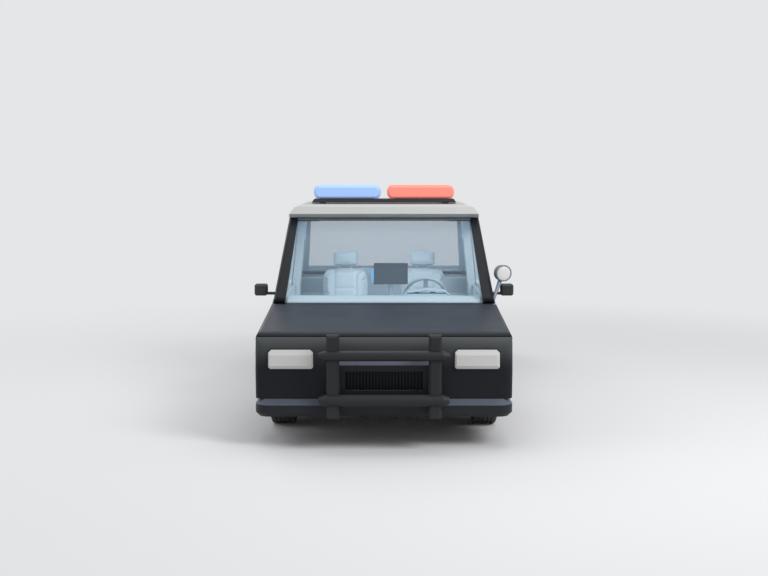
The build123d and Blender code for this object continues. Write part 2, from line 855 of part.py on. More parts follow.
def make_front_suspension():
    axle = front_axle_y
    rails = block(rail_x, (nose_y - bumper_reach + bumper_wall, -1110), rail_z)
    cross = block((0, rail_x[1]), (axle - 60, axle + 60), (rail_z[0] - 54, rail_z[0]))
    arm_y = (axle - 26, axle + 26)
    arm_low = block((450, steer_axis_x), arm_y, (lower_arm_z - 12, lower_arm_z + 12))
    arm_high = block((front_well_x, steer_axis_x), arm_y, (upper_arm_z - 12, upper_arm_z + 12))
    half = rails + cross + arm_low + arm_high
    for z in (lower_arm_z, upper_arm_z):
        half = half + Pos(steer_axis_x, axle, z) * Cylinder(30, arm_thickness)
        half = half - Pos(steer_axis_x, axle, z) * Cylinder(king_pin_radius + running_gap, 60)
    damper = bar((spring_x, axle, lower_arm_z), (spring_x, axle, 720), 24)
    return both(half + damper + bar((spring_x, axle, 330), (spring_x, axle, 760), 44))


def make_knuckle():
    """The left knuckle: an upright between the arms, its two pins, the stub axle and the steering arm."""
    axle = front_axle_y
    low, high = lower_arm_z + 17, upper_arm_z - 17
    upright = block((steer_axis_x - 32, steer_axis_x + 10), (axle - 40, axle + 40), (low, high))
    pin_length = upper_arm_z - lower_arm_z + arm_thickness
    pins = Pos(steer_axis_x, axle, tyre_radius) * Cylinder(king_pin_radius, pin_length)
    stub = bar((steer_axis_x, axle, tyre_radius), (stub_end_x, axle, tyre_radius), stub_radius)
    arm_z = (tyre_radius - 60, tyre_radius - 36)
    arm = block((steer_axis_x - 60, steer_axis_x - 25), (axle, axle + 150), arm_z)
    return upright + pins + stub + arm


def make_tyre():
    """The left tyre about the X axis: a many-sided tread, bevelled shoulders and flat walls."""
    inner_x, outer_x = track_half - tyre_width / 2, track_half + tyre_width / 2
    tread = along_x(RegularPolygon(tyre_radius, tyre_sides), inner_x, outer_x)
    walls = tread.faces().sort_by(Axis.X)
    tread = chamfer(walls[0].edges() + walls[-1].edges(), tyre_shoulder)
    return tread - bar((inner_x - 1, 0, 0), (outer_x + 1, 0, 0), rim_radius)


def make_rim():
    """The left steel wheel: a barrel, a dished disc with holes, the hub on its stub and the brake drum."""
    inner = rim_radius - rim_wall
    barrel = Cylinder(rim_radius, rim_width) - Cylinder(inner, rim_width)
    barrel = Pos(track_half, 0, 0) * Rot(0, 90, 0) * barrel
    bore = stub_radius + running_gap
    face = outline(
        [
            (814, bore),
            (stub_end_x + 4, bore),
            (stub_end_x + 4, 0),
            (912, 0),
            (912, 42),
            (886, 60),
            (886, 100),
            (898, 124),
            (898, 134),
            (868, 152),
            (868, inner + 4),
            (856, inner + 4),
            (856, 60),
            (842, 60),
            (842, 150),
            (822, 150),
            (822, 60),
            (814, 60),
        ]
    )
    disc = revolve(Plane.XY * face, Axis.X)
    for k in range(wheel_holes):
        hole = bar((850, 0, wheel_hole_circle), (874, 0, wheel_hole_circle), wheel_hole_radius)
        disc = disc - Rot(k * 360 / wheel_holes, 0, 0) * hole
    return barrel + disc


def make_rear_axle():
    axle = rear_axle_y
    half = [(stub_end_x, 0), (stub_end_x, stub_radius), (796, stub_radius), (796, 60), (780, 60), (780, 38)]
    half = half + [(150, 38), (60, 115)]
    profile = outline(half + [(-x, r) for x, r in reversed(half)])
    beam = Pos(0, axle, tyre_radius) * revolve(Plane.XY * profile, Axis.X)
    links = block((470, 510), (floor_step_y, axle), (tyre_radius - 16, tyre_radius + 16))
    springs = bar((560, axle, tyre_radius), (560, axle, rear_floor_z - 20), 48)
    return beam + both(links + springs)


def make_exhaust():
    """The pipe under the floor, the silencer box behind the axle and its tail pipe, with their hangers."""
    path = FilletPolyline(*exhaust_route, radius=200)
    pipe = sweep(Plane(origin=exhaust_route[0], z_dir=(0, 1, 0)) * Circle(exhaust_radius), path=path)
    silencer = block(silencer_x, silencer_y, silencer_z)
    tail = bar((330, silencer_y[1] - 10, 262), (330, 2590, 198), 22)
    front_hanger = block((50, 70), (-700, -680), (220, 380))
    rear_hanger = block((290, 310), (1950, 2330), (silencer_z[1] - 10, rear_floor_z - floor_thickness))
    return pipe + silencer + tail + front_hanger + rear_hanger


def write(name, solid):
    export_step(solid, f"parts/{name}.step")


write("hood", make_hood())
write("trunk_lid", make_boot_lid())
write("front_fenders", make_front_fenders())
write("nose_panel", make_nose_panel())
write("front_bumper", make_front_bumper())
write("rear_bumper", make_rear_bumper())
write("grille", make_grille())
write("headlamps", make_headlamps())
write("push_bumper", make_push_bumper())
write("cabin_frame", make_cabin_frame())
write("firewall", make_firewall())
write("floor_pan", make_floor_pan())
write("rear_body", make_rear_body())
write("parcel_shelf", make_parcel_shelf())
write("rear_wheelhouses", make_rear_wheelhouses())
write("tail_lamps", make_tail_lamps())
write("windshield", make_windshield())
write("rear_glass", make_rear_glass())
write("roof_panel", make_roof())
write("spotlight", make_spotlight())
write("light_bar_base", make_light_bar_base())
lens = make_lens()
write("light_bar_red", lens)
write("light_bar_blue", mirror(lens, about=Plane.YZ))
write("dashboard", make_dashboard())
write("steering_wheel", make_steering_wheel())
write("console", make_console())
write("terminal", make_terminal())
write("front_seats", make_front_seats())
write("rear_seat", make_rear_seat())
write("engine", make_engine())
write("front_suspension", make_front_suspension())
write("rear_axle", make_rear_axle())
write("exhaust", make_exhaust())

front_door = make_door(front_window_outline(), front_door_outline) + make_door_handle(60, 830)
rear_door = make_door(rear_window_outline(), rear_door_outline) + make_door_handle(1010, 840)
left_pieces = {
    "door_front": front_door,
    "door_rear": rear_door,
    "glass_front": pane(along_x(front_window_outline(), 0, 1100)),
    "glass_rear": pane(along_x(rear_window_outline(), 0, 1100)),
    "mirror": make_mirror(),
    "knuckle": make_knuckle(),
}
tyre, rim = make_tyre(), make_rim()
for end, axle_y in (("front", front_axle_y), ("rear", rear_axle_y)):
    left_pieces[f"tyre_{end}"] = Pos(0, axle_y, tyre_radius) * tyre
    left_pieces[f"rim_{end}"] = Pos(0, axle_y, tyre_radius) * rim
for name, solid in left_pieces.items():
    write(f"{name}_left", solid)
    write(f"{name}_right", mirror(solid, about=Plane.YZ))
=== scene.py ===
import math

import bmesh
import bpy
from mathutils import Matrix, Vector
from mathutils.bvhtree import BVHTree
from mathutils.geometry import convex_hull_2d


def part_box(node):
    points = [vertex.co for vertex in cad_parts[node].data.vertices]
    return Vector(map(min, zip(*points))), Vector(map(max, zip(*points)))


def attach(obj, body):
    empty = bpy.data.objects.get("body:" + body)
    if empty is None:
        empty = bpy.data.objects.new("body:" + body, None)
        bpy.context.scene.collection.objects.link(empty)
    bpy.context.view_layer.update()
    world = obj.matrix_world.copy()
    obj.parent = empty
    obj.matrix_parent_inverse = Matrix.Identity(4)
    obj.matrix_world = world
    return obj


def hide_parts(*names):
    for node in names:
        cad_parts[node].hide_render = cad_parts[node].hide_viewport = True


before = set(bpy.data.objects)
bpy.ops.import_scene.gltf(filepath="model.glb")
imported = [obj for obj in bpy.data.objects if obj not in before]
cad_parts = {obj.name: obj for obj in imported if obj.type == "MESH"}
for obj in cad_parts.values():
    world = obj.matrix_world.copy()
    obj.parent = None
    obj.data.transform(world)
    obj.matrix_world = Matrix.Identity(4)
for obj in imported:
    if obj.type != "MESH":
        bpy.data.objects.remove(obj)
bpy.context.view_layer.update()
scene = bpy.context.scene
sides = {"left": 1, "right": -1}
print("frame loaded:", len(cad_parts), "nodes")


# Where the body's own surfaces run, in metres

flankLine = [(0.937, 0.240), (0.967, 0.330), (0.972, 0.560), (0.964, 0.900), (0.960, 1.100)]
cabinSide = ((0.948, 0.953), (0.870, 1.677))
screenLine = ((-1.150, 0.951), (-0.208, 1.645))
rearGlassLine = ((1.750, 1.000), (1.235, 1.645))
axles = {"front": -1.470, "rear": 1.450}
wheelHeight = 0.345
wheelOut = 0.824
archRadius = 0.400


def between(line, height):
    # the first value of a two-point line at a height, which is its second value
    (a, low), (b, high) = line
    return a + (b - a) * (height - low) / (high - low)


def flankOut(height):
    for low, high in zip(flankLine[:-1], flankLine[1:]):
        if height <= high[1]:
            return between((low, high), height)
    return flankLine[-1][0]


# Nodes, each made and joined up in one call

def setInputs(tree, node, inputs):
    # each named input gets a value, or a link from another node
    for label, value in inputs.items():
        if isinstance(value, bpy.types.NodeSocket):
            tree.links.new(value, node.inputs[label])
        else:
            node.inputs[label].default_value = value


def addNode(tree, kind, inputs=None, **settings):
    node = tree.nodes.new(kind)
    for label, value in settings.items():
        setattr(node, label, value)
    setInputs(tree, node, inputs or {})
    return node


def mathNode(tree, operation, *values, clamp=False):
    settings = {"operation": operation, "use_clamp": clamp}
    return addNode(tree, "ShaderNodeMath", dict(enumerate(values)), **settings).outputs[0]


def mixColour(tree, factor, first, second):
    first, second = (value if isinstance(value, bpy.types.NodeSocket) else (*value, 1)
                     for value in (first, second))
    return addNode(tree, "ShaderNodeMix", {0: factor, 6: first, 7: second}, data_type="RGBA").outputs[2]


def noiseNode(tree, scale, detail=3.0, roughness=0.55):
    inputs = {"Vector": objectPlace(tree), "Scale": scale, "Detail": detail, "Roughness": roughness}
    return addNode(tree, "ShaderNodeTexNoise", inputs).outputs["Fac"]


def smoothRise(tree, value, low, high):
    inputs = {"Value": value, "From Min": low, "From Max": high}
    return addNode(tree, "ShaderNodeMapRange", inputs, interpolation_type="SMOOTHSTEP").outputs["Result"]


def objectPlace(tree):
    return addNode(tree, "ShaderNodeTexCoord").outputs["Object"]


def axesOf(tree, vector):
    return addNode(tree, "ShaderNodeSeparateXYZ", {0: vector}).outputs


def newMaterial(name):
    material = bpy.data.materials.new(name)
    material.use_nodes = True
    return material, material.node_tree, material.node_tree.nodes["Principled BSDF"]


# Camera, floor and light

view = {
    "place": (0.0, -11.431, 2.098), "pitch": math.radians(84.364), "lens": 57.0, "sensor": 36.0,
    "floor": (0.66, 0.66, 0.67), "sky": (0.78, 0.79, 0.80), "ambient": 0.70,
    "fadeStart": 2.9, "fadeEnd": 8.5, "floorReach": 60, "farEnd": 200,
}
lamps = {
    "key": {"place": (6.0, -6.5, 7.0), "size": (4.0, 4.0), "power": 560.0},
    "top": {"place": (0.5, 0.5, 9.0), "size": (7.0, 7.0), "power": 260.0},
    "fill": {"place": (-7.5, -3.0, 4.5), "size": (5.0, 5.0), "power": 110.0},
    "back": {"place": (-5.5, 7.5, 6.5), "size": (5.0, 5.0), "power": 200.0},
    "cabin": {"place": (0.0, -0.14, 1.560), "size": (0.90, 0.06), "power": 4.2, "aim": (0.0, 0.75, 1.02)},
}


def makeCamera():
    data = bpy.data.cameras.new("camera")
    data.lens, data.sensor_width = view["lens"], view["sensor"]
    data.clip_end = view["farEnd"]
    camera = bpy.data.objects.new("camera", data)
    camera.location = view["place"]
    camera.rotation_euler = (view["pitch"], 0, 0)
    scene.collection.objects.link(camera)
    scene.camera = camera


def seenDirectly(tree):
    # 1 for what the camera, a reflection or a window looks at, 0 for light that falls on the car
    path = addNode(tree, "ShaderNodeLightPath").outputs
    looked = mathNode(tree, "MAXIMUM", path["Is Camera Ray"], path["Is Glossy Ray"])
    return mathNode(tree, "MAXIMUM", looked, path["Is Transmission Ray"])


def makeWorld():
    world = bpy.data.worlds.new("studio")
    world.use_nodes = True
    scene.world = world
    tree = world.node_tree
    tree.nodes.clear()
    sky = (*view["sky"], 1)
    light = addNode(tree, "ShaderNodeBackground", {"Color": sky, "Strength": view["ambient"]})
    seen = addNode(tree, "ShaderNodeBackground", {"Color": sky})
    both = {0: seenDirectly(tree), 1: light.outputs[0], 2: seen.outputs[0]}
    addNode(tree, "ShaderNodeOutputWorld", {0: addNode(tree, "ShaderNodeMixShader", both).outputs[0]})


def makeLamp(name, spec):
    data = bpy.data.lights.new(name, "AREA")
    data.energy, data.shape = spec["power"], "RECTANGLE"
    data.size, data.size_y = spec["size"]
    lamp = bpy.data.objects.new(name, data)
    lamp.location = spec["place"]
    aim = Vector(spec.get("aim", (0, -0.6, 0.8))) - lamp.location
    lamp.rotation_euler = aim.to_track_quat("-Z", "Y").to_euler()
    lamp.visible_camera = False
    scene.collection.objects.link(lamp)


def makeFloor():
    # a matt floor that fades into the sky, far from the car
    material, tree, shader = newMaterial("floorPaint")
    setInputs(tree, shader, {"Base Color": (*view["floor"], 1), "Roughness": 0.9})
    far = addNode(tree, "ShaderNodeVectorMath", {0: objectPlace(tree)}, operation="LENGTH").outputs["Value"]
    fade = smoothRise(tree, far, view["fadeStart"], view["fadeEnd"])
    haze = addNode(tree, "ShaderNodeEmission", {"Color": (*view["sky"], 1)})
    both = {0: mathNode(tree, "MULTIPLY", fade, seenDirectly(tree)), 1: shader.outputs[0], 2: haze.outputs[0]}
    mixed = addNode(tree, "ShaderNodeMixShader", both).outputs[0]
    setInputs(tree, tree.nodes["Material Output"], {"Surface": mixed})
    mesh = bpy.data.meshes.new("floor")
    reach = view["floorReach"]
    corners = [(-reach, -reach, 0), (reach, -reach, 0), (reach, reach, 0), (-reach, reach, 0)]
    mesh.from_pydata(corners, [], [(0, 1, 2, 3)])
    mesh.materials.append(material)
    floor = bpy.data.objects.new("floor", mesh)
    scene.collection.objects.link(floor)


makeCamera()
makeWorld()
makeFloor()
for lampName, lampSpec in lamps.items():
    makeLamp(lampName, lampSpec)
scene.view_settings.view_transform = "Standard"
print("camera, floor and light are set")


# Shared effects, as shader node groups. Each takes its tree and inputs, and says what its outputs carry.

def roadDust(tree, given):
    # thick low on the body, thinning upwards, broken up by noise
    share = mathNode(tree, "DIVIDE", axesOf(tree, objectPlace(tree))["Z"], given["Height"])
    low = mathNode(tree, "SUBTRACT", 1.0, share, clamp=True)
    spread = mathNode(tree, "MULTIPLY", low, noiseNode(tree, 6.0, 5.0, 0.65))
    return {"Mask": mathNode(tree, "MULTIPLY", spread, given["Amount"], clamp=True)}


def surfaceGrain(tree, given):
    # a moulded or sprayed surface: fine height, and a slow drift in shade
    return {"Height": noiseNode(tree, given["Scale"], 2.0), "Drift": noiseNode(tree, 3.0)}


def clothWeave(tree, given):
    # a woven cloth: crossing threads from two sets of bands
    bands = []
    for degrees in (0, 90):
        turn = (0, 0, math.radians(degrees))
        run = addNode(tree, "ShaderNodeMapping", {"Rotation": turn, "Vector": objectPlace(tree)}).outputs[0]
        inputs = {"Distortion": 1.2, "Detail Scale": 2.0, "Vector": run, "Scale": given["Scale"]}
        bands.append(addNode(tree, "ShaderNodeTexWave", inputs).outputs["Fac"])
    return {"Height": mathNode(tree, "MAXIMUM", *bands), "Drift": bands[0]}


def edgeWear(tree, given):
    # rubbed edges, from how far the surface bends away
    bend = addNode(tree, "ShaderNodeNewGeometry").outputs["Pointiness"]
    edge = mathNode(tree, "MULTIPLY", mathNode(tree, "SUBTRACT", bend, 0.52), 9.0, clamp=True)
    rough = mathNode(tree, "MULTIPLY", edge, noiseNode(tree, 40.0, 4.0))
    return {"Mask": mathNode(tree, "MULTIPLY", rough, given["Amount"], clamp=True)}


def settledDust(tree, given):
    # painted light on faces that look up, patchy by noise: paler on the dark paint and plastics as a painted
    # reflection of the sky, greyer on the white roof as painted shade
    facing = axesOf(tree, addNode(tree, "ShaderNodeNewGeometry").outputs["True Normal"])["Z"]
    up = mathNode(tree, "MULTIPLY", mathNode(tree, "SUBTRACT", facing, given["Level"]), 12.0, clamp=True)
    patchy = mathNode(tree, "MULTIPLY_ADD", noiseNode(tree, 5.0, 4.0, 0.6), 0.5, 0.75)
    spread = mathNode(tree, "MULTIPLY", up, patchy)
    return {"Mask": mathNode(tree, "MULTIPLY", spread, given["Amount"], clamp=True)}


def cabinFaces(tree, given):
    # 1 above the belt and more than a wall's skin inside the glasshouse, 0 on its outer faces
    where = axesOf(tree, objectPlace(tree))
    mask = mathNode(tree, "GREATER_THAN", where["Z"], given["Belt"])
    # each wall: its line, the axis across it, which way is inwards, and how the slope widens its skin
    walls = (
        (cabinSide, mathNode(tree, "ABSOLUTE", where["X"]), -1.0, 1.0),
        (screenLine, where["Y"], 1.0, 1.7),
        (rearGlassLine, where["Y"], -1.0, 1.4),
    )
    for ((a, low), (b, high)), across, inwards, run in walls:
        slope = (b - a) / (high - low)
        edge = mathNode(tree, "MULTIPLY_ADD", where["Z"], slope, a - slope * low)
        depth = mathNode(tree, "MULTIPLY", mathNode(tree, "SUBTRACT", across, edge), inwards)
        skin = mathNode(tree, "MULTIPLY", given["Skin"], run)
        mask = mathNode(tree, "MULTIPLY", mask, mathNode(tree, "GREATER_THAN", depth, skin))
    return {"Mask": mask}


def dullPaint(tree, given):
    # painted highlight: a paler colour that grows from one height to another, standing in for light on the
    # rounded top of the nose
    rise = smoothRise(tree, axesOf(tree, objectPlace(tree))["Z"], given["Low"], given["High"])
    patchy = mathNode(tree, "MULTIPLY_ADD", noiseNode(tree, 1.6), 0.5, 0.65)
    return {"Mask": mathNode(tree, "MULTIPLY", rise, patchy, clamp=True)}


def makeEffect(name, build, **inputs):
    tree = bpy.data.node_groups.new(name, "ShaderNodeTree")
    for label, value in inputs.items():
        socket = tree.interface.new_socket(label, in_out="INPUT", socket_type="NodeSocketFloat")
        socket.default_value = value
    results = build(tree, tree.nodes.new("NodeGroupInput").outputs)
    for label in results:
        tree.interface.new_socket(label, in_out="OUTPUT", socket_type="NodeSocketFloat")
    addNode(tree, "NodeGroupOutput", results)
    return tree


effects = {
    "dust": makeEffect("roadDust", roadDust, Height=0.5, Amount=0.5),
    "paintedHighlight": makeEffect("dullPaint", dullPaint, Low=0.60, High=0.84),
    "settled": makeEffect("settledDust", settledDust, Amount=0.5, Level=0.4),
    "inside": makeEffect("cabinFaces", cabinFaces, Belt=0.985, Skin=0.030),
    "grain": makeEffect("surfaceGrain", surfaceGrain, Scale=300.0),
    "weave": makeEffect("clothWeave", clothWeave, Scale=260.0),
    "wear": makeEffect("edgeWear", edgeWear, Amount=0.5),
}


def useEffect(tree, name, **inputs):
    return addNode(tree, "ShaderNodeGroup", inputs, node_tree=effects[name]).outputs


# Finishes. Each row is one real surface of the car.

def finish(colour, drift, roughness, **more):
    return {"colour": colour, "drift": drift, "roughness": roughness, **more}


finishes = {
    # black paint: faces that look up are painted paler and bluer, a painted reflection of the sky on hood and
    # lid
    "blackPaint": finish((0.0110, 0.0135, 0.0175), (0.0090, 0.0110, 0.0145), 0.40, grain=900.0, bump=0.02,
                         dust=0.08, dustHeight=0.75, specular=0.10, settled=0.5, level=0.86,
                         settledColour=(0.034, 0.045, 0.066)),
    "whitePaint": finish((0.70, 0.70, 0.69), (0.66, 0.66, 0.65), 0.34, coat=0.4, grain=900.0, bump=0.02,
                         dust=0.4, dustHeight=0.75),
    # roof paint: faces that look up are painted greyer, as painted shade on the roof's top
    "roofPaint": finish((0.56, 0.56, 0.55), (0.53, 0.53, 0.52), 0.60, grain=900.0, bump=0.02,
                        specular=0.15, settled=0.7, level=0.9, settledColour=(0.42, 0.42, 0.41)),
    # bumper plastic: its top bevel is painted a paler blue-grey, a painted reflection of the sky
    "bumperPlastic": finish((0.0120, 0.0150, 0.0200), (0.0095, 0.0120, 0.0165), 0.46, grain=700.0, bump=0.06,
                            dust=0.12, dustHeight=0.5, specular=0.2, settled=0.85, level=0.4,
                            settledColour=(0.090, 0.104, 0.138)),
    "pushSteel": finish((0.0150, 0.0170, 0.0190), (0.0110, 0.0125, 0.0145), 0.5, grain=420.0, bump=0.12,
                        wear=0.12, dust=0.10, dustHeight=0.6, specular=0.28),
    # grille plastic: its top bevel is painted a pale violet, a painted highlight
    "grillePlastic": finish((0.0085, 0.0100, 0.0135), (0.0065, 0.0080, 0.0110), 0.5, grain=600.0, bump=0.05,
                            specular=0.25, settled=0.8, level=0.4, settledColour=(0.110, 0.112, 0.165)),
    "blackTrim": finish((0.018, 0.019, 0.021), (0.013, 0.014, 0.016), 0.55, grain=800.0, bump=0.10),
    "rubberSeal": finish((0.013, 0.013, 0.014), (0.010, 0.010, 0.011), 0.72, grain=500.0, bump=0.08),
    "chrome": finish((0.62, 0.63, 0.64), (0.55, 0.56, 0.58), 0.16, metallic=1.0, grain=900.0, bump=0.01),
    "brightSteel": finish((0.42, 0.43, 0.44), (0.34, 0.35, 0.36), 0.32, metallic=1.0, grain=500.0, bump=0.05),
    "lampMetal": finish((0.165, 0.205, 0.260), (0.140, 0.178, 0.230), 0.42, metallic=0.2, grain=600.0,
                        bump=0.04),
    "underbodyWax": finish((0.030, 0.029, 0.028), (0.045, 0.041, 0.036), 0.8, grain=90.0, bump=0.35,
                           dust=0.35, dustHeight=0.7),
    "chassisSteel": finish((0.045, 0.046, 0.048), (0.070, 0.060, 0.050), 0.6, metallic=0.6, grain=160.0,
                           bump=0.2, wear=0.5, dust=0.7, dustHeight=0.7),
    "castMetal": finish((0.16, 0.16, 0.165), (0.11, 0.11, 0.115), 0.55, metallic=0.7, grain=260.0, bump=0.3,
                        wear=0.3),
    "exhaustSteel": finish((0.22, 0.20, 0.18), (0.12, 0.085, 0.06), 0.5, metallic=0.8, grain=140.0, bump=0.15,
                           dust=0.5, dustHeight=0.5),
    "wheelSteel": finish((0.020, 0.021, 0.023), (0.015, 0.016, 0.018), 0.38, coat=0.2, grain=500.0, bump=0.05,
                         dust=0.5, dustHeight=0.9, wear=0.3),
    "tyreRubber": finish((0.016, 0.016, 0.017), (0.024, 0.023, 0.022), 0.78, grain=350.0, bump=0.15, dust=0.6,
                         dustHeight=0.5, specular=0.3),
    "softPlastic": finish((0.53, 0.66, 0.74), (0.49, 0.62, 0.70), 0.66, grain=900.0, bump=0.25, specular=0.3),
    "wheelRim": finish((0.49, 0.62, 0.70), (0.45, 0.58, 0.66), 0.6, grain=700.0, bump=0.35, specular=0.3),
    "darkPlastic": finish((0.030, 0.034, 0.040), (0.024, 0.027, 0.032), 0.55, grain=900.0, bump=0.2),
    "headliner": finish((0.60, 0.71, 0.78), (0.56, 0.67, 0.74), 0.95, grain=1200.0, bump=0.2),
    "carpet": finish((0.20, 0.25, 0.29), (0.24, 0.29, 0.33), 0.98, grain=420.0, bump=0.9),
    "beltWebbing": finish((0.42, 0.52, 0.58), (0.38, 0.48, 0.54), 0.85, weave=900.0, bump=0.4),
    "terminalCase": finish((0.022, 0.027, 0.036), (0.018, 0.022, 0.030), 0.55, grain=800.0, bump=0.12,
                           wear=0.12, specular=0.25),
    "keyPlastic": finish((0.020, 0.021, 0.023), (0.030, 0.031, 0.033), 0.5, grain=900.0, bump=0.05),
    "dialFace": finish((0.012, 0.013, 0.015), (0.016, 0.017, 0.019), 0.3, grain=600.0, bump=0.02),
    "dialMark": finish((0.62, 0.62, 0.60), (0.58, 0.58, 0.56), 0.5, grain=600.0, bump=0.02),
    "seatCloth": finish((0.52, 0.65, 0.73), (0.47, 0.60, 0.68), 0.9, weave=340.0, bump=0.5, sheen=0.2),
    "seatVinyl": finish((0.49, 0.62, 0.70), (0.45, 0.58, 0.66), 0.5, grain=420.0, bump=0.35),
    "seamThread": finish((0.42, 0.44, 0.46), (0.36, 0.38, 0.40), 0.8, weave=900.0, bump=0.3),
    "batteryCase": finish((0.020, 0.022, 0.026), (0.028, 0.030, 0.034), 0.5, grain=500.0, bump=0.1),
    "hoseRubber": finish((0.014, 0.014, 0.015), (0.020, 0.020, 0.020), 0.6, grain=300.0, bump=0.1),
    # white paint darkened to grey, as painted shade under the roof's lip
    "paintedShadeWhite": finish((0.175, 0.178, 0.170), (0.160, 0.163, 0.156), 0.5, grain=500.0, bump=0.05,
                        specular=0.2),
    "bottlePlastic": finish((0.58, 0.60, 0.58), (0.50, 0.52, 0.50), 0.5, grain=300.0, bump=0.1),
    "paintedSteel": finish((0.030, 0.060, 0.120), (0.024, 0.050, 0.100), 0.42, grain=300.0, bump=0.12,
                           wear=0.3),
    "mirrorSilver": finish((0.80, 0.82, 0.84), (0.78, 0.80, 0.82), 0.04, metallic=1.0, grain=300.0, bump=0.0),
}
finishes["shellPaint"] = finishes["blackPaint"]
finishes["doorPaint"] = finishes["whitePaint"]
# the nose panel is painted paler towards its top edge, a painted highlight on its rounded top
finishes["nosePaint"] = {**finishes["blackPaint"], "paintedHighlight": (0.58, 0.85),
                         "paintedHighlightColour": (0.082, 0.088, 0.090)}
dustColour = (0.16, 0.145, 0.125)
doorBelt = 1.004


def makeFinish(name, spec):
    material, tree, shader = newMaterial(name)
    kind = "weave" if "weave" in spec else "grain"
    surface = useEffect(tree, kind, Scale=spec[kind])
    colour = mixColour(tree, surface["Drift"], spec["colour"], spec["drift"])
    roughness = mathNode(tree, "MULTIPLY_ADD", surface["Drift"], 0.10, spec["roughness"] - 0.05)
    if "wear" in spec:
        paler = [min(value * 4 + 0.05, 0.8) for value in spec["colour"]]
        colour = mixColour(tree, useEffect(tree, "wear", Amount=spec["wear"])["Mask"], colour, paler)
    if "dust" in spec:
        dusty = useEffect(tree, "dust", Amount=spec["dust"], Height=spec["dustHeight"])["Mask"]
        colour = mixColour(tree, dusty, colour, dustColour)
        roughness = mathNode(tree, "MAXIMUM", roughness, dusty)
    # painted light: faces that look up take a second colour, paler on dark finishes as a painted sky reflection,
    # greyer on the roof as painted shade
    if "settled" in spec:
        paintedTopMask = useEffect(tree, "settled", Amount=spec["settled"], Level=spec["level"])["Mask"]
        colour = mixColour(tree, paintedTopMask, colour, spec["settledColour"])
    # a painted highlight: paler paint rising with height
    if "paintedHighlight" in spec:
        low, high = spec["paintedHighlight"]
        highlightMask = useEffect(tree, "paintedHighlight", Low=low, High=high)["Mask"]
        colour = mixColour(tree, highlightMask, colour, spec["paintedHighlightColour"])
    bump = {"Strength": spec["bump"], "Distance": 0.001, "Height": surface["Height"]}
    setInputs(tree, shader, {
        "Normal": addNode(tree, "ShaderNodeBump", bump).outputs["Normal"], "Base Color": colour,
        "Roughness": roughness, "Metallic": spec.get("metallic", 0.0),
        "Specular IOR Level": spec.get("specular", 0.5), "Coat Weight": spec.get("coat", 0.0),
        "Coat Roughness": 0.12, "Sheen Weight": spec.get("sheen", 0.0),
    })
    return material


def repaint(material, mask, colour):
    # a second colour where a mask of the material's own tree is 1
    tree = material.node_tree
    base = tree.nodes["Principled BSDF"].inputs["Base Color"]
    tree.links.new(mixColour(tree, mask, base.links[0].from_socket, colour), base)


def makeGlass(name, colour, alpha, roughness=0.08):
    # clear seen square on, and more of a mirror towards its edges
    material, tree, shader = newMaterial(name)
    haze = noiseNode(tree, 2.5)
    facing = addNode(tree, "ShaderNodeLayerWeight").outputs["Facing"]
    steep = mathNode(tree, "POWER", facing, 5.0)
    solid = mathNode(tree, "MULTIPLY_ADD", steep, 1.0 - alpha, alpha)
    lit = mathNode(tree, "SUBTRACT", 1.0, addNode(tree, "ShaderNodeLightPath").outputs["Is Shadow Ray"])
    setInputs(tree, shader, {
        "Base Color": mixColour(tree, haze, colour, [value * 0.94 for value in colour]),
        "Roughness": mathNode(tree, "MULTIPLY_ADD", haze, 0.06, roughness),
        "Alpha": mathNode(tree, "MULTIPLY", solid, lit), "Specular IOR Level": 0.4,
    })
    return material


def makeLens(name, colour, deep, glow):
    # a moulded lamp lens with vertical prisms in it, and a little light of its own
    material, tree, shader = newMaterial(name)
    inputs = {"Scale": 22.0, "Vector": objectPlace(tree)}
    prisms = addNode(tree, "ShaderNodeTexWave", inputs, bands_direction="X").outputs["Fac"]
    shade = mixColour(tree, prisms, colour, deep)
    bump = addNode(tree, "ShaderNodeBump", {"Strength": 0.05, "Distance": 0.002, "Height": prisms})
    setInputs(tree, shader, {
        "Base Color": shade, "Emission Color": shade, "Emission Strength": glow,
        "Normal": bump.outputs["Normal"], "Roughness": 0.34, "Specular IOR Level": 0.3,
    })
    return material


glasses = {
    "screenGlass": ((0.20, 0.30, 0.40), 0.13),
    "sideGlass": ((0.20, 0.29, 0.36), 0.14),
    "rearGlass": ((0.26, 0.50, 0.66), 0.27),
}
lenses = {
    "headlampLens": ((0.520, 0.520, 0.510), (0.512, 0.512, 0.502), 0.05),
    "tailLens": ((0.42, 0.018, 0.016), (0.30, 0.010, 0.010), 0.08),
    "blueLens": ((0.33, 0.49, 0.84), (0.31, 0.47, 0.82), 0.26),
    "redLens": ((0.88, 0.25, 0.20), (0.86, 0.23, 0.18), 0.28),
    "clearLens": ((0.66, 0.66, 0.65), (0.60, 0.60, 0.59), 0.08),
    "screenGlow": ((0.10, 0.42, 0.78), (0.08, 0.38, 0.74), 0.9),
}
materials = {name: makeFinish(name, spec) for name, spec in finishes.items()}
materials.update({name: makeGlass(name, *spec) for name, spec in glasses.items()})
materials.update({name: makeLens(name, *spec) for name, spec in lenses.items()})

# the door's window frames are black, and the cabin side of doors and shell is covered in pale trim
doorTree = materials["doorPaint"].node_tree
aboveBelt = mathNode(doorTree, "GREATER_THAN", axesOf(doorTree, objectPlace(doorTree))["Z"], doorBelt)
repaint(materials["doorPaint"], aboveBelt, finishes["blackPaint"]["colour"])
for lined in (materials["doorPaint"], materials["shellPaint"]):
    repaint(lined, useEffect(lined.node_tree, "inside")["Mask"], finishes["softPlastic"]["colour"])
print("finishes made:", len(materials))


# The finish of each piece that keeps its own shape

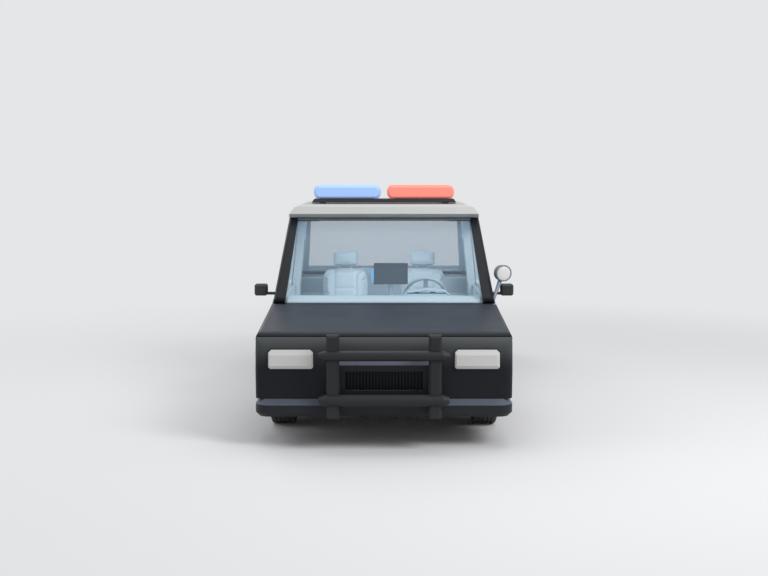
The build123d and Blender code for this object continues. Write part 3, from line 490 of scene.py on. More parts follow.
finishOfNode = {
    "hood": "blackPaint", "trunk_lid": "blackPaint", "front_fenders": "blackPaint", "nose_panel": "nosePaint",
    "rear_body": "shellPaint", "cabin_frame": "shellPaint", "roof_panel": "roofPaint",
    "parcel_shelf": "carpet", "rear_wheelhouses": "underbodyWax",
    "front_bumper": "bumperPlastic", "rear_bumper": "bumperPlastic", "grille": "grillePlastic",
    "headlamps": "headlampLens", "tail_lamps": "tailLens", "push_bumper": "pushSteel",
    "firewall": "blackPaint", "floor_pan": "underbodyWax", "windshield": "screenGlass",
    "rear_glass": "rearGlass", "spotlight": "lampMetal", "light_bar_base": "blackTrim",
    "light_bar_red": "redLens", "light_bar_blue": "blueLens", "dashboard": "softPlastic",
    "steering_wheel": "softPlastic", "console": "softPlastic", "terminal": "terminalCase",
    "front_seats": "seatVinyl", "rear_seat": "seatVinyl", "engine": "castMetal",
    "front_suspension": "chassisSteel", "rear_axle": "chassisSteel", "exhaust": "exhaustSteel",
}
for sideName in sides:
    finishOfNode[f"knuckle_{sideName}"] = "castMetal"
    finishOfNode[f"mirror_{sideName}"] = "blackTrim"
    for endName in axles:
        finishOfNode[f"door_{endName}_{sideName}"] = "doorPaint"
        finishOfNode[f"glass_{endName}_{sideName}"] = "sideGlass"
        finishOfNode[f"tyre_{endName}_{sideName}"] = "tyreRubber"
        finishOfNode[f"rim_{endName}_{sideName}"] = "wheelSteel"

for nodeName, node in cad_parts.items():
    node.data.materials.clear()
    node.data.materials.append(materials[finishOfNode[nodeName]])
print("nodes finished:", len(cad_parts))


# Making shapes in mesh code

def turned(axis, degrees, centre=(0, 0, 0)):
    centre = Vector(centre)
    spin = Matrix.Rotation(math.radians(degrees), 4, axis)
    return Matrix.Translation(centre) @ spin @ Matrix.Translation(-centre)


def alongAxis(axis, centre):
    # a place whose Z axis points along the given direction
    direction = Vector(axis).normalized()
    return Matrix.Translation(Vector(centre)) @ direction.to_track_quat("Z", "Y").to_matrix().to_4x4()


def upright(*centre):
    return Matrix.Translation(centre)


def addBox(bm, low, high, bevel=0.0, steps=2, turn=None):
    low, high = Vector(low), Vector(high)
    made = bmesh.ops.create_cube(bm, size=1.0)["verts"]
    place = Matrix.Translation((low + high) / 2) @ Matrix.Diagonal((*(high - low), 1))
    bmesh.ops.transform(bm, matrix=place, verts=made)
    if bevel:
        edges = {edge for vert in made for edge in vert.link_edges}
        out = bmesh.ops.bevel(bm, geom=list(edges), offset=bevel, segments=steps, profile=0.6, affect="EDGES")
        made = list({vert for face in out["faces"] for vert in face.verts} | {v for v in made if v.is_valid})
    if turn is not None:
        bmesh.ops.transform(bm, matrix=turn, verts=made)


def addTurned(bm, profile, place, steps=32):
    # a profile of (height, radius) points turned about the Z axis of place
    rings = []
    for height, radius in profile:
        if radius < 1e-7:
            rings.append([bm.verts.new(place @ Vector((0, 0, height)))])
            continue
        rings.append([bm.verts.new(place @ Vector((a, b, height))) for a, b in roundSection(radius, steps)])
    for first, second in zip(rings[:-1], rings[1:]):
        for k in range(steps):
            corners = [first[k % len(first)], first[(k + 1) % len(first)],
                       second[(k + 1) % len(second)], second[k % len(second)]]
            kept = list(dict.fromkeys(corners))
            if len(kept) > 2:
                bm.faces.new(kept)
    for ring in (rings[0], rings[-1]):
        if len(ring) > 2:
            bm.faces.new(ring)


def addSwept(bm, points, section, closed=False, up=(0, 0, 1)):
    # a section of (across, lift) points carried along a path; across is square to the path and to up
    points = [Vector(point) for point in points]
    count = len(points)
    rings = []
    for k, point in enumerate(points):
        before = points[k - 1] if (closed or k) else point
        after = points[(k + 1) % count] if (closed or k < count - 1) else point
        forward = (after - before).normalized()
        lift = Vector(up[k]) if isinstance(up[0], (tuple, Vector)) else Vector(up)
        across = forward.cross(lift).normalized()
        lift = across.cross(forward).normalized()
        into, out = point - before, after - point
        widen = 1.0
        if into.length > 1e-6 and out.length > 1e-6:
            widen = 1 / max(math.cos(into.angle(out) / 2), 0.5)
        flat = abs((into.cross(out)).normalized().dot(across)) > 0.7 if widen > 1.001 else False
        ring = []
        for a, b in section:
            a, b = (a, b * widen) if flat else (a * widen, b)
            ring.append(bm.verts.new(point + across * a + lift * b))
        rings.append(ring)
    pairs = list(zip(rings, rings[1:] + rings[:1])) if closed else list(zip(rings[:-1], rings[1:]))
    size = len(section)
    for first, second in pairs:
        for k in range(size):
            bm.faces.new([first[k], first[(k + 1) % size], second[(k + 1) % size], second[k]])
    if not closed:
        bm.faces.new(rings[0])
        bm.faces.new(rings[-1])


def addTube(bm, corners, radius, bend=0.05, around=12, up=(0, 0, 1)):
    addSwept(bm, easedPath(corners, bend), roundSection(radius, around), up=up)


def roundSection(radius, steps=10):
    return [(radius * math.cos(2 * math.pi * k / steps), radius * math.sin(2 * math.pi * k / steps))
            for k in range(steps)]


def flatSection(half, low, high):
    return [(-half, low), (half, low), (half, high), (-half, high)]


def hatSection(foot, crown, high):
    # a pressed brace: wide at its foot and narrower at its top
    return [(-foot, 0), (foot, 0), (crown, high), (-crown, high)]


def stripSection(width, height, ease=0.3):
    # a flat strip with its top edges eased
    half, cut = width / 2, min(width, height) * ease
    return [(-half, 0), (half, 0), (half, height - cut), (half - cut, height),
            (cut - half, height), (-half, height - cut)]


def bentCorner(start, corner, end, steps):
    # points round a corner, from start to end
    spots = (k / steps for k in range(steps + 1))
    return [(1 - t) ** 2 * start + 2 * t * (1 - t) * corner + t ** 2 * end for t in spots]


def roundedPath(corners, radius, steps=6):
    # a closed path through the corners, each of them rounded
    corners = [Vector(corner) for corner in corners]
    path = []
    for k, corner in enumerate(corners):
        into = (corners[k - 1] - corner).normalized()
        out = (corners[(k + 1) % len(corners)] - corner).normalized()
        reach = radius / math.tan(into.angle(out) / 2)
        path += bentCorner(corner + into * reach, corner, corner + out * reach, steps)
    return path


def easedPath(corners, radius, steps=5):
    # an open path through the corners, with every corner but the two ends rounded
    corners = [Vector(corner) for corner in corners]
    path = [corners[0]]
    for before, corner, after in zip(corners[:-2], corners[1:-1], corners[2:]):
        reach = min(radius, (before - corner).length / 2, (after - corner).length / 2)
        into, out = (before - corner).normalized(), (after - corner).normalized()
        path += bentCorner(corner + into * reach, corner, corner + out * reach, steps)
    return path + [corners[-1]]


# Pieces, each made from parts: a part is a shape that is added when its piece is made

def laterPart(add):
    def keep(*given, **more):
        return lambda bm: add(bm, *given, **more)
    return keep


box, lathe, sweep, tube = (laterPart(add) for add in (addBox, addTurned, addSwept, addTube))

# the material slot that each finish belongs to, unless a piece names another; newPiece looks it up but keeps it
# nowhere
slotOf = {finishName: slot for slot, group in {
    "interior_plastic": ("softPlastic", "darkPlastic", "keyPlastic", "wheelRim", "headliner", "dialMark"),
    "black_plastic": ("blackTrim", "rubberSeal", "hoseRubber", "dialFace", "batteryCase"),
    "lamp_metal": ("chrome", "brightSteel", "lampMetal", "mirrorSilver"),
    "headlamp": ("headlampLens", "clearLens", "bottlePlastic"),
    "seat_cloth": ("seatCloth", "seatVinyl", "seamThread", "beltWebbing"),
    "cast_metal": ("castMetal", "paintedSteel"),
    "chassis_steel": ("chassisSteel",),
    "tyre_rubber": ("tyreRubber",),
    "wheel_steel": ("wheelSteel",),
    "black_paint": ("blackPaint",),
    "white_paint": ("paintedShadeWhite",),
    "tail_lamp": ("tailLens",),
    "push_bar": ("pushSteel",),
    "underbody": ("underbodyWax", "carpet"),
    "blue_lens": ("screenGlow",),
}.items() for finishName in group}


def smoothed(mesh, angle=35):
    mesh.polygons.foreach_set("use_smooth", [True] * len(mesh.polygons))
    mesh.set_sharp_from_angle(angle=math.radians(angle))


def shapeOf(parts):
    bm = bmesh.new()
    for add in parts:
        add(bm)
    return bm


def newPiece(name, bm, finishName, body, slot):
    bmesh.ops.remove_doubles(bm, verts=bm.verts, dist=1e-6)
    bmesh.ops.recalc_face_normals(bm, faces=bm.faces)
    mesh = bpy.data.meshes.new(name)
    bm.to_mesh(mesh)
    bm.free()
    mesh.materials.append(materials[finishName])
    smoothed(mesh)
    piece = bpy.data.objects.new(name, mesh)
    scene.collection.objects.link(piece)
    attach(piece, body)
    slot or slotOf[finishName]
    return piece


def makePiece(name, finishName, *parts, body="body", slot=None):
    return newPiece(name, shapeOf(parts), finishName, body, slot)


def makePair(name, finishName, *parts, body="body", slot=None):
    # the left piece and its mirror image, each on its own side's body
    bm = shapeOf(parts)
    twin = bm.copy()
    bmesh.ops.transform(twin, matrix=Matrix.Diagonal((-1, 1, 1, 1)), verts=twin.verts)
    bmesh.ops.reverse_faces(twin, faces=twin.faces)
    for sideName, shape in (("left", bm), ("right", twin)):
        newPiece(f"{name}_{sideName}", shape, finishName, body.format(sideName), slot)


# Geometry Nodes trees for what repeats

def makeTree(name, sockets, placing):
    # placing gives the points that carry a copy of Piece, and how each copy is turned
    tree = bpy.data.node_groups.new(name, "GeometryNodeTree")
    kinds = {"Geometry": "Geometry", "Piece": "Object", "Material": "Material", **sockets}
    for label, kind in kinds.items():
        tree.interface.new_socket(label, in_out="INPUT", socket_type=f"NodeSocket{kind}")
    tree.interface.new_socket("Geometry", in_out="OUTPUT", socket_type="NodeSocketGeometry")
    given = tree.nodes.new("NodeGroupInput").outputs
    shape = addNode(tree, "GeometryNodeObjectInfo", {"Object": given["Piece"]}).outputs["Geometry"]
    inputs = {"Instance": shape, **placing(tree, given)}
    placed = addNode(tree, "GeometryNodeInstanceOnPoints", inputs).outputs["Instances"]
    real = addNode(tree, "GeometryNodeRealizeInstances", {"Geometry": placed}).outputs["Geometry"]
    painted = addNode(tree, "GeometryNodeSetMaterial", {"Geometry": real, "Material": given["Material"]})
    addNode(tree, "NodeGroupOutput", {"Geometry": painted.outputs["Geometry"]})
    return tree


def inRow(tree, given):
    # Count copies, the first at Start and each a Step on from the last
    inputs = {"Count": given["Count"], "Start Location": given["Start"], "Offset": given["Step"]}
    return {"Points": addNode(tree, "GeometryNodeMeshLine", inputs).outputs["Mesh"]}


def inRing(tree, given):
    # Count copies turned evenly about the X axis through Centre
    inputs = {"Count": given["Count"], "Start Location": given["Centre"], "Offset": (0, 0, 0)}
    line = addNode(tree, "GeometryNodeMeshLine", inputs)
    step = mathNode(tree, "DIVIDE", 2 * math.pi, given["Count"])
    angle = mathNode(tree, "MULTIPLY", addNode(tree, "GeometryNodeInputIndex").outputs[0], step)
    spin = addNode(tree, "ShaderNodeCombineXYZ", {"X": angle})
    return {"Points": line.outputs["Mesh"], "Rotation": spin.outputs[0]}


def onPoints(tree, given):
    # one copy on every point of the mesh, its Z axis along the point's own direction
    facing = addNode(tree, "GeometryNodeInputNamedAttribute", {"Name": "facing"}, data_type="FLOAT_VECTOR")
    align = addNode(tree, "FunctionNodeAlignEulerToVector", {"Vector": facing.outputs["Attribute"]}, axis="Z")
    return {"Points": given["Geometry"], "Rotation": align.outputs["Rotation"]}


trees = {
    "row": makeTree("rowOfPieces", {"Count": "Int", "Start": "Vector", "Step": "Vector"}, inRow),
    "ring": makeTree("ringOfPieces", {"Count": "Int", "Centre": "Vector"}, inRing),
    "points": makeTree("piecesOnPoints", {}, onPoints),
}


def repeated(name, finishName, tree, parts, values=None, places=None, body="body", slot=None):
    # copies of one shape, made real; places are points that each carry the direction their copy faces
    pattern = bpy.data.meshes.new("pattern")
    bm = shapeOf(parts)
    bmesh.ops.recalc_face_normals(bm, faces=bm.faces)
    bm.to_mesh(pattern)
    bm.free()
    shape = bpy.data.objects.new("pattern", pattern)
    scene.collection.objects.link(shape)
    points = bpy.data.meshes.new("points")
    if places:
        points.from_pydata([place for place, _ in places], [], [])
        facing = points.attributes.new("facing", "FLOAT_VECTOR", "POINT")
        facing.data.foreach_set("vector", [value for _, direction in places for value in direction])
    carrier = bpy.data.objects.new(name, points)
    scene.collection.objects.link(carrier)
    modifier = carrier.modifiers.new("repeat", "NODES")
    modifier.node_group = trees[tree]
    values = {**(values or {}), "Piece": shape, "Material": materials[finishName]}
    for item in trees[tree].interface.items_tree:
        if item.in_out == "INPUT" and item.name in values:
            modifier[item.identifier] = values[item.name]
    carrier.update_tag()
    depsgraph = bpy.context.evaluated_depsgraph_get()
    result = bpy.data.meshes.new_from_object(carrier.evaluated_get(depsgraph), depsgraph=depsgraph)
    carrier.modifiers.clear()
    carrier.data = result
    bpy.data.meshes.remove(points)
    bpy.data.objects.remove(shape)
    result.name = name
    smoothed(result)
    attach(carrier, body)


def makeRow(name, finishName, bar, count, start, step, **more):
    # a row of one bar, which is (wide, deep, high, ease)
    wide, deep, high, ease = bar
    shape = box((-wide / 2, -deep / 2, -high / 2), (wide / 2, deep / 2, high / 2), ease, 1)
    repeated(name, finishName, "row", [shape], {"Count": count, "Start": start, "Step": step}, **more)


def makeBolts(name, finishName, size, height, places, **more):
    # hexagon heads on their washers
    washer = size * 1.5
    flat = [(0, washer), (height * 0.25, washer), (height * 0.25, size * 0.9)]
    head = [(height * 0.2, size), (height * 0.9, size), (height, size * 0.8)]
    parts = [lathe(flat, upright(0, 0, 0), 20), lathe(head, upright(0, 0, 0), 6)]
    repeated(name, finishName, "points", parts, places=places, **more)


# Wheels: tyres with tread and sidewall, nuts, caps and valves

tyre = {
    "radius": 0.345, "bead": 0.216, "half": 0.107, "treadHalf": 0.089,
    "grooves": (-0.052, -0.017, 0.017, 0.052),
    "grooveWidth": 0.008, "grooveDepth": 0.008, "blocks": 66, "lugs": (0.079, 0.0345, 0.0), "steps": 132,
    "discOut": 0.062, "nuts": 5, "nutCircle": 0.0785,
}
capDish = [(-0.002, 0.061), (0.003, 0.063), (0.009, 0.0605), (0.020, 0.051), (0.027, 0.040), (0.0295, 0.030),
           (0.0300, 0.022), (0.0315, 0.020), (0.0325, 0.0)]
valveStem = [(0, 0.0055), (0.020, 0.0042), (0.022, 0.0052), (0.034, 0.0052), (0.036, 0.003), (0.036, 0.0)]


def tyreProfile():
    # the carcass from bead to bead, as (across, radius): sidewalls by an arc, tread with its grooves
    r, bead, half, flat = tyre["radius"], tyre["bead"], tyre["half"], tyre["treadHalf"]
    side = [(half - 0.020, bead), (half - 0.014, bead + 0.012), (half - 0.010, bead + 0.020)]
    for k in range(9):
        angle = math.radians(-62 + 118 * k / 8)
        side.append((half - 0.020 + 0.0195 * math.cos(angle), 0.282 + 0.050 * math.sin(angle)))
    side.append((flat + 0.004, r - 0.006))
    top = [(flat, r - 0.002)]
    for groove in reversed(tyre["grooves"]):
        w, d = tyre["grooveWidth"] / 2, tyre["grooveDepth"]
        top += [(groove + w, r), (groove + w * 0.6, r - d), (groove - w * 0.6, r - d), (groove - w, r)]
    top.append((-flat, r - 0.002))
    outer = side + top + [(-across, radius) for across, radius in reversed(side)]
    inner = [(across * 0.86, max(radius - 0.012, bead - 0.001)) for across, radius in outer
             if abs(across) > half - 0.019 or abs(radius - r) < 1e-6]
    return outer + inner[::-1]


def addCarcass(bm, centre):
    profile, steps = tyreProfile(), tyre["steps"]
    rings = []
    for k in range(steps):
        angle = 2 * math.pi * k / steps
        rings.append([bm.verts.new(centre + Vector((across, radius * math.sin(angle),
                                                    radius * math.cos(angle))))
                      for across, radius in profile])
    for first, second in zip(rings, rings[1:] + rings[:1]):
        for j in range(len(profile)):
            m = (j + 1) % len(profile)
            bm.faces.new([first[j], first[m], second[m], second[j]])


def makeWheel(endName, sideName):
    sign, r = sides[sideName], tyre["radius"]
    tag, body = f"{endName.title()}{sideName.title()}", f"wheel_{endName}_{sideName}"
    centre = Vector((sign * wheelOut, axles[endName], wheelHeight))
    carcass = makePiece(f"tread{tag}", "tyreRubber", laterPart(addCarcass)(centre), body=body)
    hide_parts(f"tyre_{endName}_{sideName}")
    shoulder, rib, middle = tyre["lugs"]
    lugs = [box((across - 0.0105, -0.0115, r - 0.012), (across + 0.0105, 0.0115, r - 0.0004), 0.0016, 1,
                turned("Z", 14 * lean * sign, (across, 0, r)))
            for across, lean in ((shoulder, 1), (-shoulder, -1), (rib, -1), (-rib, 1), (middle, 1))]
    repeated(f"treadBlocks{tag}", "tyreRubber", "ring", lugs,
             {"Count": tyre["blocks"], "Centre": tuple(centre)},
             body=body)
    disc = centre + Vector((sign * tyre["discOut"], 0, 0))
    makePiece(f"centreCap{tag}", "chrome", lathe(capDish, alongAxis((sign, 0, 0), disc), 48), body=body,
              slot="wheel_steel")
    places = []
    for k in range(tyre["nuts"]):
        angle, reach = 2 * math.pi * (k + 0.5) / tyre["nuts"], tyre["nutCircle"]
        spot = Vector((sign * tyre["discOut"], reach * math.sin(angle), reach * math.cos(angle)))
        places.append((centre + spot, (sign, 0, 0)))
    makeBolts(f"wheelNuts{tag}", "brightSteel", 0.0095, 0.018, places, body=body, slot="wheel_steel")
    root = centre + Vector((sign * 0.050, 0, 0.196))
    makePiece(f"valve{tag}", "rubberSeal", lathe(valveStem, alongAxis((sign, 0, -0.25), root), 14), body=body,
              slot="tyre_rubber")


for endName in axles:
    for sideName in sides:
        makeWheel(endName, sideName)
print("wheels dressed")


# Body trim: window seals, gutters, mouldings, arch lips

trim = {
    "glassSet": 0.021, "sealWide": 0.016, "screenSealWide": 0.008, "sealHigh": 0.010, "sealEase": 0.029,
    "sealIn": 0.0056, "quarterEase": 0.018, "screenEase": 0.03, "screenOver": 0.002,
    "rubStripZ": 0.545, "rubStripWide": 0.044, "rubStripHigh": 0.011, "doorEdge": 0.035, "doorGap": 0.012,
    "paneSet": 0.2158, "rearDoorLean": 0.088, "lipWide": 0.016, "lipHigh": 0.006, "lipOut": 0.005,
    "lipFoot": {"front": 0.30, "rear": 0.262}, "lipSteps": 40, "headerZ": 1.635, "headerHalf": 0.790,
}
quarterCorners = ((1.240, 1.590), (1.330, 1.182))


def planeNormal(line):
    # square to a window's line, pointing out and up
    (y0, z0), (y1, z1) = line
    along = Vector((0, y1 - y0, z1 - z0)).normalized()
    normal = Vector((1, 0, 0)).cross(along)
    return normal if normal.z > 0 else -normal


def sideNormal():
    (x0, z0), (x1, z1) = cabinSide
    along = Vector((x1 - x0, 0, z1 - z0)).normalized()
    normal = along.cross(Vector((0, 1, 0)))
    return normal if normal.x > 0 else -normal


def makeScreenSeal(name, line, low, high):
    # a frame round a screen, from its half width and height at the foot to those at the top
    normal = planeNormal(line)
    corners = []
    for (half, z), signs in ((low, (-1, 1)), (high, (1, -1))):
        for sign in signs:
            place = Vector((sign * (half + trim["screenOver"]), between(line, z), z))
            corners.append(place - normal * trim["glassSet"])
    section = stripSection(trim["screenSealWide"], trim["sealHigh"])
    path = roundedPath(corners, trim["screenEase"], 5)
    makePiece(name, "rubberSeal", sweep(path, section, closed=True, up=tuple(normal)))


def windowCorners(endName):
    # the four (y, z) corners of a door's window, whose pane gives its height and length
    low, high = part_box(f"glass_{endName}_left")
    if endName == "front":
        lowFront, highFront = (between(screenLine, z) + trim["paneSet"] for z in (low.z, high.z))
        return [(lowFront, low.z), (high.y, low.z), (high.y, high.z), (highFront, high.z)]
    return [(low.y, low.z), (high.y, low.z), (high.y - trim["rearDoorLean"], high.z), (low.y, high.z)]


def makeSideSeal(name, corners, ease, body):
    normal = sideNormal()
    middle = Vector((0, sum(y for y, z in corners) / 4, sum(z for y, z in corners) / 4))
    points = []
    for y, z in corners:
        point = Vector((0, y, z))
        point += (middle - point).normalized() * trim["sealIn"]
        point.x = between(cabinSide, point.z)
        points.append(point - normal * trim["glassSet"])
    section = stripSection(trim["sealWide"], trim["sealHigh"])
    makePair(name, "rubberSeal",
             sweep(roundedPath(points, ease), section, closed=True, up=tuple(normal)), body=body)


def makeWindowSeals():
    for endName in axles:
        makeSideSeal(f"windowSeal{endName.title()}", windowCorners(endName), trim["sealEase"],
                     f"door_{endName}_{{}}")
    foot, (rear, front) = quarterCorners
    z0, z1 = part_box("rear_glass")[0].z, 1.370
    corners = [(foot[0], z0), (foot[1], z0), (rear, z1), (front, z1)]
    makeSideSeal("quarterSeal", corners, trim["quarterEase"], "body")


def makeWaistSeals():
    # the wiped seal at the foot of each door window
    for endName in axles:
        low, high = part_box(f"glass_{endName}_left")
        x = between(cabinSide, low.z) + 0.0005
        points = [(x, low.y - 0.02, low.z - 0.006), (x, high.y + 0.02, low.z - 0.006)]
        makePair(f"waistSeal{endName.title()}", "rubberSeal",
                 sweep(points, stripSection(0.014, 0.005), up=tuple(sideNormal())),
                  body=f"door_{endName}_{{}}")


def makeRubStrips():
    z, edge, gap = trim["rubStripZ"], trim["doorEdge"], trim["doorGap"]
    (front, middle), rear = (corner.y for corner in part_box("door_front_left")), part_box("door_rear_left")[0].y
    spans = [
        ("Front", "door_front_{}", front + edge, middle - gap),
        ("Rear", "door_rear_{}", rear + edge, 1.000),
        ("Fender", "body", axles["front"] + archRadius + gap, front - gap),
    ]
    section = stripSection(trim["rubStripWide"], trim["rubStripHigh"], 0.45)
    for tag, body, start, end in spans:
        points = [(flankOut(z) - 0.0005, y, z) for y in (start, end)]
        makePair(f"rubStrip{tag}", "blackTrim", sweep(points, section, up=(1, 0, 0)), body=body)


def makeArchLips():
    reach, steps = archRadius + trim["lipOut"], trim["lipSteps"]
    for endName, axleY in axles.items():
        first = math.asin((trim["lipFoot"][endName] - wheelHeight) / archRadius)
        points = []
        for k in range(steps + 1):
            angle = first + (math.pi - 2 * first) * k / steps
            z = wheelHeight + reach * math.sin(angle)
            points.append((flankOut(z) - 0.001, axleY + reach * math.cos(angle), z))
        makePair(f"archLip{endName.title()}", "blackTrim",
                 sweep(points, stripSection(trim["lipWide"], trim["lipHigh"], 0.4), up=(1, 0, 0)))


def makeScreenHeader():
    # the painted finisher between the windshield's top edge and the roof's lip, its white paint darkened to grey
    # as painted shade under the lip
    normal, z, half = planeNormal(screenLine), trim["headerZ"], trim["headerHalf"]
    place = Vector((0, between(screenLine, z), z)) - normal * 0.012
    points = [place + Vector((x, 0, 0)) for x in (-half, half)]
    makePiece("screenHeader", "paintedShadeWhite", sweep(points, stripSection(0.022, 0.013), up=tuple(normal)))


makeScreenSeal("screenSeal", screenLine, (0.846, 0.962), (0.795, 1.634))
makeScreenHeader()
makeScreenSeal("rearScreenSeal", rearGlassLine, (0.820, 1.018), (0.760, 1.624))
makeWindowSeals()
gutter = [(0.874, -0.150, 1.650), (0.875, -0.120, 1.652), (0.875, 1.17, 1.652), (0.874, 1.20, 1.650)]
makePair("roofGutter", "blackPaint", sweep(gutter, stripSection(0.012, 0.005), up=(1, 0, 0.1)))
makeWaistSeals()
makeRubStrips()
makeArchLips()
print("body trim made")


# Door furniture: locks, mirror glass, inner cards

door = {
    "cardX": 0.860, "cardThick": 0.012, "winderZ": 0.600,
    "locks": {"front": (0.100, 0.786), "rear": (1.050, 0.796)},
    "speakerRings": 7, "speakerStep": 0.0095, "speakerZ": 0.450,
}
lockBarrel = [(0, 0.015), (0.004, 0.015), (0.006, 0.012), (0.006, 0.009), (0.0045, 0.008), (0.0045, 0)]
winderHub = [(0, 0.024), (0.006, 0.024), (0.014, 0.014), (0.020, 0.012), (0.020, 0)]
winderKnob = [(0, 0.008), (0.006, 0.012), (0.020, 0.013), (0.024, 0.008), (0.024, 0)]


def makeDoorLocks():
    for endName, (y, z) in door["locks"].items():
        x = flankOut(z)
        makePair(f"lock{endName.title()}", "chrome",
                 lathe(lockBarrel, alongAxis((1, 0, 0), (x - 0.002, y, z)), 24),
                 box((x + 0.0024, y - 0.001, z - 0.005), (x + 0.0032, y + 0.001, z + 0.005)),
                 body=f"door_{endName}_{{}}")


def makeMirrorGlass():
    low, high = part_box("mirror_left")
    makePair("mirrorGlass", "mirrorSilver",
             box((1.038, high.y - 0.002, low.z + 0.016), (high.x - 0.012, high.y + 0.002, high.z - 0.014),
                  0.0015),
             body="door_front_{}")
    x0, x1, z0, z1 = 1.032, high.x - 0.006, low.z + 0.010, high.z - 0.008
    ring = roundedPath([(x, high.y, z) for x, z in ((x0, z0), (x1, z0), (x1, z1), (x0, z1))], 0.012, 4)
    makePair("mirrorRim", "blackTrim", sweep(ring, stripSection(0.007, 0.004), closed=True, up=(0, 1, 0)),
             body="door_front_{}")


def makeSpeakers(endName, frontY):
    # rings of small holes in the card
    hole = [(0, 0.0030), (0.0012, 0.0030), (0.0012, 0)]
    for sideName, sign in sides.items():
        places = []
        for ring in range(1, door["speakerRings"] + 1):
            for across, up in roundSection(door["speakerStep"] * ring, 6 * ring):
                spot = (sign * (door["cardX"] - 0.012), frontY + 0.12 + across, door["speakerZ"] + up)
                places.append((spot, (0, 0, 1)))
        repeated(f"speaker{endName.title()}_{sideName}", "darkPlastic", "points",
                 [lathe(hole, alongAxis((-1, 0, 0), (0, 0, 0)), 8)], places=places,
                  body=f"door_{endName}_{sideName}")


def makeDoorCards():
    # the trimmed inner face of each door, with its armrest, handle, winder and speaker
    x, winder = door["cardX"], door["winderZ"]
    for endName in axles:
        low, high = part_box(f"door_{endName}_left")
        tag, body = endName.title(), f"door_{endName}_{{}}"
        y0, y1 = (low.y + 0.06, high.y - 0.03) if endName == "front" else (low.y + 0.03, 0.93)
        middle = (y0 + y1) / 2
        makePair(f"doorCard{tag}", "softPlastic",
                 box((x - door["cardThick"], y0, 0.335), (x + 0.006, y1, 0.990), 0.006), body=body)
        makePair(f"armrest{tag}", "wheelRim",
                 box((x - 0.065, middle - 0.20, 0.690), (x - 0.008, middle + 0.24, 0.735), 0.018, 3),
                 box((x - 0.030, middle + 0.10, 0.700), (x - 0.006, middle + 0.23, 0.800), 0.010, 3),
                  body=body)
        crank = middle - 0.12
        makePair(f"winder{tag}", "chrome",
                 lathe(winderHub, alongAxis((-1, 0, 0), (x - 0.011, crank, winder)), 24),
                 box((x - 0.034, crank - 0.008, winder - 0.006), (x - 0.026, crank + 0.008, winder + 0.115),
                      0.004),
                 lathe(winderKnob, alongAxis((-1, 0, 0), (x - 0.032, crank, winder + 0.108)), 18), body=body)
        makePair(f"innerHandle{tag}", "chrome",
                 box((x - 0.018, middle - 0.26, 0.840), (x - 0.010, middle - 0.14, 0.880), 0.004),
                 box((x - 0.026, middle - 0.245, 0.852), (x - 0.016, middle - 0.165, 0.868), 0.005),
                  body=body)
        makeSpeakers(endName, y0)


makeDoorLocks()
makeMirrorGlass()
makeDoorCards()
print("doors furnished")


# Lamps, light bar, push bumper, cowl and spotlight details

lampTrim = {"ribStep": 0.0105, "cutLow": 0.014, "cutHigh": 0.022, "gasketOut": 0.004, "headInner": 0.532,
            "tailInner": 0.752, "boltX": (-0.60, -0.35, -0.10, 0.10, 0.35, 0.60), "lensTop": 0.055}


def makeHeadlampDetail():
    low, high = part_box("headlamps")
    inner, outer, step, over = lampTrim["headInner"], high.x, lampTrim["ribStep"], lampTrim["gasketOut"]
    count = int((outer - inner - 0.045) / step)
    for sideName, sign in sides.items():
        makeRow(f"headlampRibs_{sideName}", "headlampLens", (0.0042, 0.004, 0.070, 0.0012), count,
                (sign * (inner + 0.023), low.y + 0.0014, 0.662), (sign * step, 0, 0))
    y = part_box("nose_panel")[0].y - 0.001
    for sideName, sign in sides.items():
        ring = []
        for x, z, towards in ((inner, low.z, 1), (outer, low.z, -1), (outer, high.z, -1), (inner, high.z, 1)):
            cut, edge = lampTrim["cutLow"] if z == low.z else lampTrim["cutHigh"], x - over * towards
            away = math.copysign(1, z - 0.67)
            flat = Vector((sign * (edge + towards * cut), y, z + over * away))
            steep = Vector((sign * edge, y, z - (cut - over) * away))
            ring += [flat, steep] if (z == low.z) == (x == outer) else [steep, flat]
        makePiece(f"headlampGasket_{sideName}", "rubberSeal",
                  sweep(ring, stripSection(0.008, 0.004), closed=True, up=(0, -1, 0)))


def makeTailLampDetail():
    low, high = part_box("tail_lamps")
    inner, outer, rim = lampTrim["tailInner"], high.x, 0.005
    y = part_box("rear_body")[1].y + 0.0005
    for sideName, sign in sides.items():
        middle = sign * (inner + outer) / 2
        makeRow(f"tailLampRibs_{sideName}", "tailLens", (outer - inner - 0.010, 0.004, 0.0032, 0.001), 12,
                (middle, high.y - 0.0050, low.z + 0.022), (0, -0.0006, 0.0105))
        makePiece(f"reverseLamp_{sideName}", "clearLens",
                  box((middle - 0.050, high.y - 0.010, low.z + 0.004),
                       (middle + 0.050, high.y + 0.001, low.z + 0.030), 0.003))
        x0, x1, z0, z1 = sign * (inner - rim), sign * (outer + rim), low.z - rim, high.z + rim
        ring = roundedPath([(x0, y, z0), (x1, y, z0), (x1, y, z1), (x0, y, z1)], 0.010, 4)
        makePiece(f"tailLampFrame_{sideName}", "blackTrim",
                  sweep(ring, stripSection(0.011, 0.006), closed=True, up=(0, 1, 0)))


def makeLightBarDetail():
    for tag in ("red", "blue"):
        low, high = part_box(f"light_bar_{tag}")
        inset = lampTrim["lensTop"]
        makePiece(f"lensClamp_{tag}", "blackTrim",
                  *[box((low.x + inset, y - 0.006, low.z - 0.002), (high.x - inset, y + 0.006, low.z + 0.008),
                         0.003)
                    for y in (low.y + 0.004, high.y - 0.004)])
    low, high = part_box("light_bar_base")
    places = [((x, y, 1.8028), (0, 0, 1)) for x in lampTrim["boltX"] for y in (low.y + 0.007, high.y - 0.007)]
    makeBolts("lightBarBolts", "brightSteel", 0.0035, 0.0035, places)


